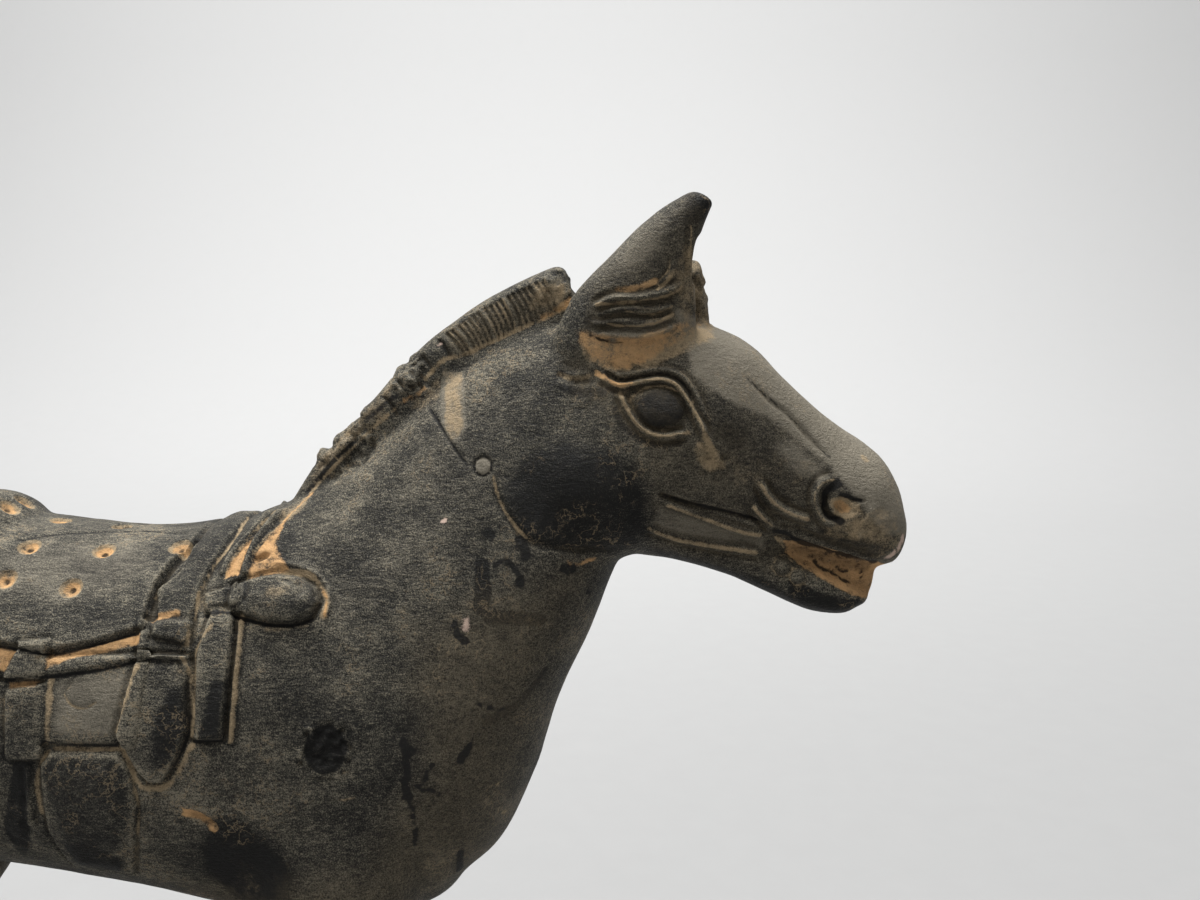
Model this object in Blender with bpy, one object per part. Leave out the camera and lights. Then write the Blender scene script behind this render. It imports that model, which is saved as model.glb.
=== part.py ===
"""Clay horse figure, saddled and standing square, moulded in one with its low base.

The figure is free sculpture, so its pose, proportions and carving are shares of its
own height: a share is one 250th part of it, measured from the soles of the hooves
(z = 0) with +X towards the muzzle and +Y towards the horse's left. The base is a
plain slab with sizes of its own. The origin is the centre of the base's underside.
"""

import math

import bmesh
import bpy
import numpy as np
from mathutils import Vector
from mathutils.bvhtree import BVHTree

# Driving dimensions, in metres
FIGURE_HEIGHT = 0.250  # soles of the hooves to the tips of the ears
BASE_LENGTH = 0.182
BASE_WIDTH = 0.074
BASE_THICKNESS = 0.009
BASE_EDGE = 0.0015  # rounding along the slab's edges

# How the surface is meshed
CLAY_GRAIN = 0.0008  # side of the cubes that the fused clay is read in
SIDES = 40  # points round each section
TRIANGLES = 9500  # left after thinning

# Where the triangles stay finer, in shares: centre, radius and how plain the clay is there
FINE_ZONES = [((122, 0, 200), 52, 0.3), ((80, 0, 222), 18, 0.3), ((5, 0, 152), 36, 0.3)]
FINE_PULL = 0.006

SHARE = FIGURE_HEIGHT / 250
STANCE_CENTRE = -11  # in shares, the middle of the four hooves along X
CLAY_COLOUR = (0.075, 0.070, 0.062, 1.0)
CLAY_ROUGHNESS = 0.62


class Section:
    """One cut through a form: its upper and lower point in the XZ plane, its half
    width, how square it is (2 is an ellipse), how much wider it is above its middle
    than below, and how far it is set off the centre plane."""

    def __init__(self, upper, lower, half_width, square=2.0, egg=0.0, aside=0.0):
        self.values = np.array([*upper, *lower, half_width, square, egg, aside], float)


def spline(rows, steps):
    """Rows read along a Catmull-Rom curve through them, with steps spans to each gap."""
    rows = np.asarray(rows, float)
    padded = np.vstack([2 * rows[0] - rows[1], rows, 2 * rows[-1] - rows[-2]])
    found = []
    for i in range(1, len(padded) - 2):
        before, here, there, beyond = padded[i - 1 : i + 3]
        for t in np.linspace(0, 1, steps, endpoint=False):
            found.append(
                0.5
                * (
                    2 * here
                    + (there - before) * t
                    + (2 * before - 5 * here + 4 * there - beyond) * t**2
                    + (3 * here - 3 * there + beyond - before) * t**3
                )
            )
    found.append(rows[-1])
    return np.array(found)


def ring_points(values):
    """The points round one section, in shares."""
    upper, lower = values[0:2], values[2:4]
    half_width, square, egg, aside = values[4:8]
    middle, half = (upper + lower) / 2, (upper - lower) / 2
    points = []
    for k in range(SIDES):
        turn = 2 * math.pi * k / SIDES
        c, s = math.cos(turn), math.sin(turn)
        high = math.copysign(abs(c) ** (2 / square), c)
        wide = math.copysign(abs(s) ** (2 / square), s)
        x, z = middle + half * high
        points.append((x, aside + half_width * wide * (1 + egg * high), z))
    return points


def loft(name, sections, steps=4, round_start=0.5, round_end=0.5):
    """A closed body through the sections. round_start and round_end are how far each
    end bulges, as shares of that end's own half height."""
    rows = spline([s.values for s in sections], steps)
    rings = [ring_points(row) for row in rows]
    for first, bulge in ((True, round_start), (False, round_end)):
        row, near = (rows[0], rows[1]) if first else (rows[-1], rows[-2])
        middle = (row[0:2] + row[2:4]) / 2
        out = middle - (near[0:2] + near[2:4]) / 2
        out = out / max(np.linalg.norm(out), 1e-9)
        reach = bulge * np.linalg.norm(row[0:2] - row[2:4]) / 2
        for quarter in (0.3, 0.55, 0.75, 0.9, 0.975):
            angle = quarter * math.pi / 2
            shrink, push = math.cos(angle), math.sin(angle) * reach
            capped = row.copy()
            capped[0:2] = middle + (row[0:2] - middle) * shrink + out * push
            capped[2:4] = middle + (row[2:4] - middle) * shrink + out * push
            capped[4] = row[4] * shrink
            rings = [ring_points(capped), *rings] if first else [*rings, ring_points(capped)]
    mesh = bmesh.new()
    ring = bmesh.ops.create_circle(mesh, cap_ends=True, segments=SIDES, radius=1)["verts"]
    edges = [e for e in mesh.edges]
    for vertex, point in zip(ring, rings[0]):
        vertex.co = point
    for points in rings[1:]:
        grown = bmesh.ops.extrude_edge_only(mesh, edges=edges)["geom"]
        edges = [g for g in grown if isinstance(g, bmesh.types.BMEdge)]
        for vertex, point in zip([g for g in grown if isinstance(g, bmesh.types.BMVert)], points):
            vertex.co = point
    bmesh.ops.edgeloop_fill(mesh, edges=edges)
    bmesh.ops.recalc_face_normals(mesh, faces=mesh.faces)
    return to_object(name, mesh)


def to_object(name, mesh):
    """A bmesh as a new object in the scene."""
    data = bpy.data.meshes.new(name)
    mesh.to_mesh(data)
    mesh.free()
    made = bpy.data.objects.new(name, data)
    bpy.context.scene.collection.objects.link(made)
    return made


def mirrored(make, name, sections, **settings):
    """The same form on the horse's right (-Y) and left (+Y)."""
    pair = []
    for side, sign in (("right", -1), ("left", 1)):
        turned = [Section((0, 0), (0, 0), 0) for _ in sections]
        for copy, section in zip(turned, sections):
            copy.values = section.values.copy()
            copy.values[7] *= sign
        pair.append(make(f"{name}_{side}", turned, **settings))
    return pair


def lump(name, centre, radii, side=0):
    """An ellipsoid of clay pressed on to the form."""
    mesh = bmesh.new()
    bmesh.ops.create_uvsphere(mesh, u_segments=28, v_segments=18, radius=1)
    bmesh.ops.scale(mesh, vec=radii, verts=mesh.verts)
    x, y, z = centre
    bmesh.ops.translate(mesh, vec=(x, y * side if side else y, z), verts=mesh.verts)
    return to_object(name, mesh)


def trunk():
    return loft(
        "trunk",
        [
            Section((-92, 164), (-90, 118), 20, 2.1),
            Section((-84, 174), (-84, 109), 27, 2.2),
            Section((-70, 179.5), (-70, 102), 31, 2.2),
            Section((-48, 178), (-48, 99.5), 32, 2.2),
            Section((-24, 175), (-24, 97.2), 33, 2.2, -0.03),
            Section((0, 173.2), (0, 93.6), 33.5, 2.2, -0.04),
            Section((18, 176.5), (20, 88.5), 32.5, 2.2, -0.06),
            Section((33, 181.5), (40, 86), 30, 2.2, -0.08),
            Section((50, 175), (56, 87), 27, 2.2, -0.08),
            Section((62, 158), (67, 92), 21, 2.2, -0.05),
            Section((70, 144), (73, 106), 14, 2.1),
        ],
        round_start=0.35,
        round_end=0.25,
    )


def cantle():
    return lump("cantle", (-41, 0, 171), (12, 18, 10.4))


def neck():
    return loft(
        "neck",
        [
            Section((4, 171), (57, 89), 26, 2.2, -0.1),
            Section((22, 177), (75.5, 100.5), 26.5, 2.2, -0.12),
            Section((36, 183.5), (84.6, 117.5), 24.5, 2.2, -0.16),
            Section((49, 193), (91, 137.5), 21, 2.2, -0.2),
            Section((62, 205.5), (98, 153), 18, 2.2, -0.22),
            Section((76, 216), (104, 168), 15.5, 2.2, -0.2),
            Section((92, 222.5), (111, 180), 13.5, 2.2, -0.1),
            Section((104, 222), (118, 190), 11, 2.0),
        ],
        round_end=0.4,
    )


def head():
    return loft(
        "head",
        [
            Section((93, 216), (79, 190), 8, 2.0),
            Section((104, 222), (79, 179), 13.5, 2.1, 0.0),
            Section((115, 222), (87, 172.5), 16, 2.2, 0.02),
            Section((124, 220.4), (98, 171), 16.8, 2.3, 0.03),
            Section((132, 216.8), (110, 169.8), 16, 2.3, 0.0),
            Section((139.4, 210), (120, 168.5), 13.8, 2.3, -0.06),
            Section((146.5, 203.4), (130, 167.6), 11.8, 2.4, -0.08),
            Section((152.6, 198.4), (139, 170.5), 10.6, 2.5, -0.05),
            Section((157.9, 195.1), (146.5, 170.2), 11.0, 2.5, 0.0),
            Section((162.2, 191.4), (153.5, 168.8), 11.2, 2.5, 0.03),
            Section((165.4, 185.8), (160, 167.6), 9.8, 2.3, 0.0),
            Section((167.0, 179.4), (163.6, 168.2), 7.6, 2.2, 0.0),
        ],
        round_start=0.4,
        round_end=0.3,
    )


def jaw():
    return loft(
        "jaw",
        [
            Section((118, 183), (116, 169.4), 12, 2.4),
            Section((130, 178), (128, 166), 11, 2.6),
            Section((138.5, 173.6), (136.5, 162.2), 10.4, 2.8),
            Section((146.5, 169.6), (145.5, 158.3), 10.0, 2.8),
            Section((153.5, 166), (153.2, 157.3), 9.2, 2.8),
            Section((157.6, 164.4), (156.9, 158.8), 7.8, 2.4),
        ],
        round_end=0.9,
    )


def tongue():
    return loft(
        "tongue",
        [
            Section((128, 182), (128, 170), 5, 2.4),
            Section((140, 178), (140, 164), 6.2, 2.6),
            Section((151, 174), (151, 161), 6.0, 2.6),
            Section((159.8, 171), (159.4, 161.6), 5.0, 2.6),
        ],
        round_end=0.25,
    )


def cheeks():
    return [
        lump("cheek_right", (98, -6, 187), (21, 11.6, 18)),
        lump("cheek_left", (98, 6, 187), (21, 11.6, 18)),
    ]


def ears():
    return mirrored(
        loft,
        "ear",
        [
            Section((90, 218), (120.4, 211), 5.5, 2.0, 0.0, 8.0),
            Section((94.4, 226.8), (120.6, 221), 5.8, 2.0, 0.0, 8.6),
            Section((100.2, 233.2), (120.4, 227.6), 5.4, 2.0, 0.0, 9.2),
            Section((106.2, 239.0), (120.2, 233.6), 4.7, 2.0, 0.0, 9.8),
            Section((111.8, 243.9), (121.2, 238.8), 4.0, 2.0, 0.0, 10.4),
            Section((116.2, 246.8), (122.7, 243.0), 3.2, 2.0, 0.0, 10.8),
            Section((118.7, 248.1), (123.7, 245.4), 2.5, 2.0, 0.0, 11.0),
        ],
        round_end=0.35,
    )


def mane():
    return loft(
        "mane",
        [
            Section((30.0, 180.5), (34.0, 174), 1.8, 3.0),
            Section((37.2, 190.7), (43.5, 182.5), 2.8, 3.0),
            Section((46.3, 200.6), (53.5, 192), 3.4, 3.0),
            Section((60.3, 215.3), (67.0, 204.5), 3.7, 3.0),
            Section((69.3, 222.3), (75.0, 211), 3.9, 3.0),
            Section((79.5, 228.6), (83.5, 216.5), 4.0, 3.0),
            Section((90.2, 233.4), (94.0, 220.5), 4.2, 3.0),
            Section((92.6, 232.2), (96.6, 221.5), 4.2, 3.0),
        ],
        round_start=0.2,
        round_end=0.05,
    )


def forelock():
    return loft(
        "forelock",
        [
            Section((108, 233), (108, 214), 3.6, 3.0),
            Section((114, 234.4), (114, 216), 4.2, 3.0),
            Section((121.2, 234.6), (122.8, 217.5), 4.4, 3.0),
        ],
        round_end=0.12,
    )


def forelegs():
    return mirrored(
        loft,
        "foreleg",
        [
            Section((20, 124), (64, 124), 11.5, 2.1, 0.0, 15.5),
            Section((17, 107), (62, 107), 12.5, 2.1, 0.0, 16.5),
            Section((20, 93), (60, 93), 11.6, 2.1, 0.0, 17.5),
            Section((27, 80), (57, 80), 9.8, 2.1, 0.0, 18.3),
            Section((33, 68), (54.6, 68), 8.5, 2.1, 0.0, 18.8),
            Section((35.0, 57), (54.4, 57), 8.4, 2.2, 0.0, 19),
            Section((36.4, 49), (52.8, 49), 7.6, 2.2, 0.0, 19),
            Section((38.2, 40), (50.8, 40), 6.5, 2.1, 0.0, 19),
            Section((38.4, 29), (50.2, 29), 6.2, 2.1, 0.0, 19),
            Section((37.4, 20), (51.8, 20), 7.3, 2.1, 0.0, 19),
            Section((39.4, 13.5), (54.6, 13.5), 6.9, 2.1, 0.0, 19),
            Section((39.0, 9.4), (57.6, 9.4), 8.0, 2.2, 0.0, 19),
            Section((37.8, 0), (61.5, 0), 9.6, 2.3, 0.0, 19),
            Section((37.6, -2.5), (62, -2.5), 9.7, 2.3, 0.0, 19),
        ],
        steps=3,
        round_start=0.3,
        round_end=0.0,
    )


def hind_legs():
    return mirrored(
        loft,
        "hind_leg",
        [
            Section((-92, 146), (-52, 142), 14, 2.1, 0.0, 13),
            Section((-96, 127), (-45, 127), 16, 2.1, 0.0, 14.5),
            Section((-95.5, 110), (-43.5, 110), 14.8, 2.1, 0.0, 16.5),
            Section((-91.5, 95), (-47.5, 95), 12.4, 2.1, 0.0, 17.8),
            Section((-88.5, 81), (-53.5, 81), 10.2, 2.1, 0.0, 18.5),
            Section((-89.4, 68), (-63.5, 68), 8.5, 2.1, 0.0, 18.8),
            Section((-91.5, 57.5), (-71.0, 56.5), 7.8, 2.1, 0.0, 19),
            Section((-89.8, 49), (-74.0, 49), 7.2, 2.1, 0.0, 19),
            Section((-86.8, 39), (-74.2, 39), 6.4, 2.1, 0.0, 19),
            Section((-84.4, 28), (-72.2, 28), 6.2, 2.1, 0.0, 19),
            Section((-84, 19.5), (-69.4, 19.5), 7.3, 2.1, 0.0, 19),
            Section((-81, 13), (-66.2, 13), 6.9, 2.1, 0.0, 19),
            Section((-81.4, 9), (-62.6, 9), 8.0, 2.2, 0.0, 19),
            Section((-82.4, 0), (-58.8, 0), 9.6, 2.3, 0.0, 19),
            Section((-82.6, -2.5), (-58.4, -2.5), 9.7, 2.3, 0.0, 19),
        ],
        steps=3,
        round_start=0.3,
        round_end=0.0,
    )


def tail():
    return loft(
        "tail",
        [
            Section((-80, 172), (-78, 160), 4.5, 2.0),
            Section((-92, 169.5), (-87, 160), 5.2, 2.0),
            Section((-100.5, 159), (-92, 152), 5.6, 2.0),
            Section((-104.5, 142), (-93.5, 140), 6.0, 2.0),
            Section((-105.5, 122), (-94, 122), 6.0, 2.0),
            Section((-104.5, 102), (-94, 102), 5.6, 2.0),
            Section((-102.5, 86), (-94.5, 86), 4.2, 2.0),
        ],
        round_end=1.2,
    )


# How far each form's clay is smoothed into its neighbours, in shares
BLEND = {
    "trunk": 14,
    "cantle": 3,
    "neck": 14,
    "head": 2.5,
    "jaw": 2.0,
    "cheek": 5.0,
    "tongue": 0.8,
    "ear": 1.6,
    "mane": 0.9,
    "forelock": 0.9,
    "foreleg": 12,
    "hind_leg": 14,
    "tail": 3,
}


def surface_of(piece):
    """A search tree over one object's faces."""
    mesh = bmesh.new()
    mesh.from_mesh(piece.data)
    tree = BVHTree.FromBMesh(mesh)
    mesh.free()
    return tree


def apply_modifiers(piece):
    """The object's mesh replaced by what its modifiers make of it."""
    graph = bpy.context.evaluated_depsgraph_get()
    finished = bpy.data.meshes.new_from_object(piece.evaluated_get(graph))
    piece.modifiers.clear()
    old = piece.data
    piece.data = finished
    bpy.data.meshes.remove(old)


def fused(name, forms, grain):
    """All forms as one skin of clay, read in cubes of side grain, in shares."""
    whole = bmesh.new()
    for form in forms:
        whole.from_mesh(form.data)
    piece = to_object(name, whole)
    remesh = piece.modifiers.new("fuse", "REMESH")
    remesh.mode = "VOXEL"
    remesh.voxel_size = grain
    apply_modifiers(piece)
    return piece


def blend_joins(piece, forms, grain):
    """Smooths the clay where two forms meet, each pair by the smaller of their blends."""
    trees = [surface_of(form) for form in forms]
    reaches = [next(r for n, r in BLEND.items() if form.name.startswith(n)) for form in forms]
    longest = max(reaches)
    group = piece.vertex_groups.new(name="joins")
    for vertex in piece.data.vertices:
        near = []
        for tree, reach in zip(trees, reaches):
            distance = tree.find_nearest(vertex.co, reach)[3]
            if distance is not None:
                near.append((distance, reach))
        near.sort()
        weight = 0.0
        if len(near) > 1:
            own = near[0][1]
            for distance, reach in near[1:]:
                limit = min(own, reach)
                share = max(0.0, 1 - distance / limit)
                weight = max(weight, share * (limit / longest) ** 0.5)
        if weight > 0.01:
            group.add([vertex.index], min(1.0, weight), "REPLACE")
    smooth = piece.modifiers.new("blend", "SMOOTH")
    smooth.vertex_group = group.name
    smooth.factor = 0.5
    smooth.iterations = int(60 / grain**2)
    even = piece.modifiers.new("even", "SMOOTH")
    even.factor = 0.5
    even.iterations = max(2, int(5 / grain**2))
    apply_modifiers(piece)


# The carving, in shares. It is laid out on the horse's right and is the same on its left.
# On the head and neck a point is (x, z), seen from the side. On the body it is (x, turn),
# where turn is the angle in degrees down from the spine, about a line at BODY_AXIS.
BODY_AXIS = 135
GIRTH = 0.62  # shares round the body for each degree of turn
SIDE_CLEAR = 90  # shares out from the middle, beyond the horse's sides
FRONT_CLEAR = 220  # shares ahead, beyond the muzzle
PATH_STEPS = 6  # spans that each gap of a carved line is cut into

PAD_EDGE = [(-46, 0), (-45, 30), (-42, 50), (-21, 53), (-11.5, 55), (-2.5, 52), (7, 47)]
PAD_EDGE += [(7.2, 38), (7.8, 31), (9.5, 23), (12.4, 14), (12.4, 0)]
CLOTH_EDGE = [(-42, 40), (-43, 62), (-20.5, 64), (-11.5, 63), (-3.5, 61), (8, 57), (8, 40)]
FLAP_EDGE = [(-12.2, 58), (-12.2, 86), (7, 86), (9, 56)]
BAND_EDGE = [(12.4, 0), (12.8, 15), (11.8, 28), (8.4, 34), (9.5, 44), (9.5, 50), (16.6, 52)]
BAND_EDGE += [(16.7, 44), (17.8, 31), (19.2, 15), (20.8, 0)]
BLOCK_EDGE = [(6.6, 45), (16.8, 45), (17.2, 57), (6.8, 57)]
TONGUE_EDGE = [(7.2, 56), (16.8, 56), (17.8, 82), (14.4, 96), (12.0, 101), (9.8, 101)]
TONGUE_EDGE += [(7.6, 96), (3.6, 83)]
HANGER_EDGE = [(19.6, 40), (25, 40), (24.4, 85), (18.2, 85)]
LEFT_BUCKLE_EDGE = [(-17.4, 53.5), (-11.4, 52.5), (-12, 64), (-20, 64)]
LEFT_STRAP_EDGE = [(-19.4, 68), (-12, 66), (-12, 92), (-19.4, 92)]
GIRTH_EDGE = [(-12.4, 93), (-9.5, 89.5), (4, 89.5), (6, 95), (6.4, 110), (4.5, 124), (2, 138)]
GIRTH_EDGE += [(-11, 138), (-13, 120)]
KNOT_EDGE = [(18.6, 37), (24.8, 34.5), (26, 41), (19.4, 42)]
STUDS = [(-38, 20), (-22.8, 20), (-7, 19), (9.6, 17.5), (-39, 35), (-24, 33), (-9.8, 35)]
STUDS += [(-23, 0), (-9, 0), (-33.6, 4)]
STUD_RADIUS = 2.7

# The saddle's raised layers, lowest first: outline, how proud it stands, how much more its
# middle rises and how far in from its edge that rise is full
LOWER_LAYERS = [(CLOTH_EDGE, 0.55, 0, 0), (FLAP_EDGE, 0.5, 0, 0), (PAD_EDGE, 0.9, 0, 0)]
UPPER_LAYERS = [(LEFT_BUCKLE_EDGE, 0.7, 0, 0), (LEFT_STRAP_EDGE, 0.9, 0, 0)]
UPPER_LAYERS += [(TONGUE_EDGE, 1.1, 0, 0), (BLOCK_EDGE, 0.7, 0, 0), (BAND_EDGE, 0.9, 0.7, 4)]
UPPER_LAYERS += [(HANGER_EDGE, 1.0, 0, 0), (GIRTH_EDGE, 0.45, 0.5, 5), (KNOT_EDGE, 1.0, 0, 0)]
STUD_DEPTH = 0.9
STUD_RISE = 0.7  # how far the middle of a stud's hollow comes back up

# The saddle's ridges and grooves: line, half width, height and how its ends die away
SADDLE_LINES = [
    ([(23.5, 3), (22, 17), (21, 28)], 1.5, 0.9, 0.1),
    ([(27.6, 6), (26, 18), (25, 28)], 1.5, 0.9, 0.1),
    ([(30.6, 4), (30.4, 16), (29.6, 27)], 1.6, -0.5, 0.2),
    ([(18.4, 54), (17.9, 70), (17.6, 85)], 0.7, -0.7, 0),
    ([(26.9, 43), (26.6, 64), (26, 86)], 0.9, 0.5, 0),
    ([(25.6, 43), (25.4, 64), (24.9, 86)], 0.8, -0.6, 0),
    ([(-15, 94), (-15.6, 106), (-17, 119)], 1.2, 0.7, 0.1),
]
TASSEL_CENTRE = (33.4, 35.6)
TASSEL_RADII = (8.6, 7, 4.6)
TASSEL_RISE = 2.0
TASSEL_RIM = [(31, 28), (38, 28.4), (42.6, 32), (43.4, 37), (41, 42)]

# Broad hollows of the head: place, radius, height and the share of the radius that is level
HEAD_HOLLOWS = [((112.5, 203.8), 10.5, -0.8, 0.3), ((105, 215), 8, -1.2, 0.1)]
HEAD_HOLLOWS += [((126, 193), 9, -0.7, 0.1)]
EYE = (112.5, 203.6)
EYE_RADII = (5.2, 3.9)
EYE_TILT = -10
EYE_RISE = 1.5
UPPER_LID = [(99, 210.4), (104.6, 208.8), (109, 210), (114, 210), (118.2, 207.9)]
UPPER_LID += [(120, 204.5), (122.2, 199.4)]
LOWER_LID = [(104, 207), (107, 202.8), (109.8, 199.9), (114, 198.4), (119.5, 198.8)]
TEAR_LINE = [(121.4, 198.6), (123, 195.4), (126, 191.4)]
TEMPLE_LINE = [(90, 211), (100.5, 210)]
NOSE_LINE = [(121, 211.7), (129.5, 205.5), (138.3, 199), (147, 193.5), (153.5, 189.5)]
NOSTRIL_RIM = [(151.6, 188.6), (147.6, 186.8), (145.9, 183.4), (147, 180.2), (151.2, 178.8)]
NOSTRIL = ((151.8, 182.8), 3.0, -2.4, 0.2)
LIP_LUMP = ((139.8, 169.6), 2.6, 0.8, 0.2)
SMILE_LINES = [
    [(133, 189.7), (136, 185), (140.3, 181.5), (147.2, 178.8)],
    [(131.8, 184), (136, 179.6), (138.2, 177.4)],
]
CHEEK_BARS = [
    [(112, 186.2), (121, 182.8), (130.5, 179.2), (136.4, 177)],
    [(114, 182.2), (122, 179.2), (129, 176.7), (135.4, 175)],
    [(111, 177.6), (118, 175), (125, 173.2), (134.5, 171.6)],
]
JOWL_LINE = [(80, 192), (79, 185), (82.4, 178.6), (88, 175.2), (96, 173.8), (106, 173.2)]
HAIR_LOCKS = [
    [(96, 223.8), (101, 226.2), (109, 226.8), (114, 228.2), (118.6, 230.6)],
    [(95.4, 222.6), (102, 223.8), (109, 224.2), (114, 224.8), (118.6, 226.6)],
    [(96, 221.2), (103, 221.4), (109, 221.4), (114, 221.8), (118.2, 223.4)],
]

# The face's ridges and grooves: line, half width, height and how its ends die away
FACE_LINES = [
    (UPPER_LID, 1.6, 1.2, 0.05),
    (LOWER_LID, 1.2, 0.8, 0.05),
    (TEAR_LINE, 1.4, 0.6, 0.3),
    (TEMPLE_LINE, 1.5, -0.6, 0.3),
    (NOSE_LINE, 1.8, -0.5, 0.3),
    (SMILE_LINES[0], 1.3, -0.8, 0.2),
    (SMILE_LINES[1], 1.3, -0.8, 0.2),
    (CHEEK_BARS[0], 1.0, -0.8, 0.05),
    (CHEEK_BARS[1], 1.5, 0.7, 0.1),
    (CHEEK_BARS[2], 1.1, -0.7, 0.1),
    (JOWL_LINE, 2.6, -0.7, 0.2),
    (NOSTRIL_RIM, 1.7, 1.1, 0.15),
]
LOCK_WIDTH = 1.6
LOCK_HEIGHT = 1.1

EAR_SCOOP = [(-9, 229), (-9.6, 233), (-10.2, 238), (-10.8, 243), (-11, 246)]
EAR_FOLD = [(117.5, 230), (116.4, 236), (118.4, 243)]
MANE_FOOT = [(71, 212.5), (92.5, 223)]
MANE_CREST = [(66, 219.2), (89, 231.8)]
MANE_STROKES = 10
STROKE_WIDTH = 1.2
STROKE_DEPTH = 0.6


def on_side(tree, x, z):
    """The point of the clay seen at (x, z) from the horse's right."""
    return tree.ray_cast(Vector((x, -SIDE_CLEAR, z)), Vector((0, 1, 0)))[0]


def on_front(tree, y, z):
    """The point of the clay seen at (y, z) from in front of the horse."""
    return tree.ray_cast(Vector((FRONT_CLEAR, y, z)), Vector((-1, 0, 0)))[0]


def on_body(tree, x, turn):
    """The point of the body at x, turned down from the spine on the horse's right."""
    angle = math.radians(turn)
    out = Vector((0, -math.sin(angle), math.cos(angle)))
    return tree.ray_cast(Vector((x, 0, BODY_AXIS)) + out * SIDE_CLEAR, -out)[0]


def bell(distance, width):
    """A rounded hump: 1 at the middle and 0 beyond width."""
    return np.where(distance < width, 0.5 + 0.5 * np.cos(np.pi * distance / width), 0.0)


def ramp(value, low, high):
    """A smooth rise from 0 at low to 1 at high."""
    t = np.clip((value - low) / (high - low), 0, 1)
    return t * t * (3 - 2 * t)


def distance_to_path(points, path):
    """How far each point is from a line through the path's points, and how far along
    the path it lies, as a share."""
    best = np.full(len(points), 1e9)
    along = np.zeros(len(points))
    for i, (start, end) in enumerate(zip(path[:-1], path[1:])):
        run = end - start
        t = np.clip((points - start) @ run / max(run @ run, 1e-12), 0, 1)
        distance = np.linalg.norm(points - start - t[:, None] * run, axis=1)
        nearer = distance < best
        best[nearer] = distance[nearer]
        along[nearer] = (i + t[nearer]) / (len(path) - 1)
    return best, along


def signed_distance(points, outline):
    """How far each point lies inside a closed outline, negative outside it."""
    loop = np.vstack([outline, outline[:1]])
    distance, _ = distance_to_path(points, loop)
    inside = np.zeros(len(points), bool)
    for (x0, y0), (x1, y1) in zip(loop[:-1], loop[1:]):
        if y0 == y1:
            continue
        crosses = (points[:, 1] > y0) != (points[:, 1] > y1)
        inside ^= crosses & (points[:, 0] < x0 + (points[:, 1] - y0) * (x1 - x0) / (y1 - y0))
    return np.where(inside, distance, -distance)


class Carving:
    """Heights to press the clay out by, or in where negative, at each of its points."""

    def __init__(self, piece):
        count = len(piece.data.vertices)
        self.piece = piece
        self.points = np.empty(count * 3)
        piece.data.vertices.foreach_get("co", self.points)
        self.points = self.points.reshape(-1, 3)
        self.normals = np.empty(count * 3)
        piece.data.vertices.foreach_get("normal", self.normals)
        self.normals = self.normals.reshape(-1, 3)
        self.tree = surface_of(piece)
        self.near = self.points * (1, 0, 1)
        self.near[:, 1] = -np.abs(self.points[:, 1])
        self.height = np.zeros(count)
        turn = np.degrees(np.arctan2(-self.near[:, 1], self.near[:, 2] - BODY_AXIS))
        self.flat = np.column_stack([self.near[:, 0], turn * GIRTH])
        self.body = (self.near[:, 0] > -60) & (self.near[:, 0] < 50) & (self.near[:, 2] > 88)

    def side_path(self, corners):
        """A smooth line over the clay through corners (x, z) seen from the right."""
        found = [on_side(self.tree, x, z) for x, z in spline(corners, PATH_STEPS)]
        return np.array([point for point in found if point is not None])

    def body_path(self, corners):
        """A smooth line over the body through corners (x, turn)."""
        found = [on_body(self.tree, x, turn) for x, turn in spline(corners, PATH_STEPS)]
        return np.array([point for point in found if point is not None])

    def trace(self, path, width, height, taper=0.0):
        """A ridge along a path, or a groove where height is negative. taper is the
        share of the path over which each end dies away."""
        low, high = path.min(0) - width, path.max(0) + width
        chosen = np.flatnonzero(((self.near > low) & (self.near < high)).all(1))
        distance, along = distance_to_path(self.near[chosen], path)
        hump = bell(distance, width) * height
        if taper:
            hump *= ramp(np.minimum(along, 1 - along), 0, taper)
        self.height[chosen] += hump

    def pad(self, outline, height, crown=0.0, crown_width=0.0, edge=0.5):
        """A raised patch of the body inside an outline of (x, turn). Its middle rises
        by crown more, all of it crown_width in from the edge."""
        outline = np.array(outline, float) * (1, GIRTH)
        depth = signed_distance(self.flat, outline)
        self.height += np.where(self.body, ramp(depth, -edge / 2, edge / 2), 0) * height
        if crown:
            self.height += np.where(self.body, ramp(depth, 0, crown_width), 0) * crown

    def spot(self, centre, radius, height, flatness=0.0):
        """A round hump or hollow. flatness is the share of the radius that is level."""
        distance = np.linalg.norm(self.near - np.array(centre), axis=1)
        shape = bell(np.maximum(distance - radius * flatness, 0), radius * (1 - flatness))
        self.height += shape * height

    def dome(self, centre, radii, tilt, height):
        """An oval dome on the side of the head, rising steeply at its rim."""
        head = (self.near[:, 0] > 74) & (self.near[:, 2] > 150)
        x, z = centre
        c, s = math.cos(math.radians(tilt)), math.sin(math.radians(tilt))
        dx, dz = self.near[:, 0] - x, self.near[:, 2] - z
        across, up = (dx * c + dz * s) / radii[0], (dz * c - dx * s) / radii[1]
        share = np.clip(1 - across**2 - up**2, 0, 1)
        self.height += np.where(head, np.sqrt(share), 0) * height

    def press(self):
        """Moves the clay and starts afresh from its new surface."""
        moved = self.points + self.normals * self.height[:, None]
        self.piece.data.vertices.foreach_set("co", moved.ravel())
        self.piece.data.update()
        settle = self.piece.modifiers.new("settle", "SMOOTH")
        settle.factor = 0.5
        settle.iterations = 2
        apply_modifiers(self.piece)
        self.__init__(self.piece)


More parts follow.
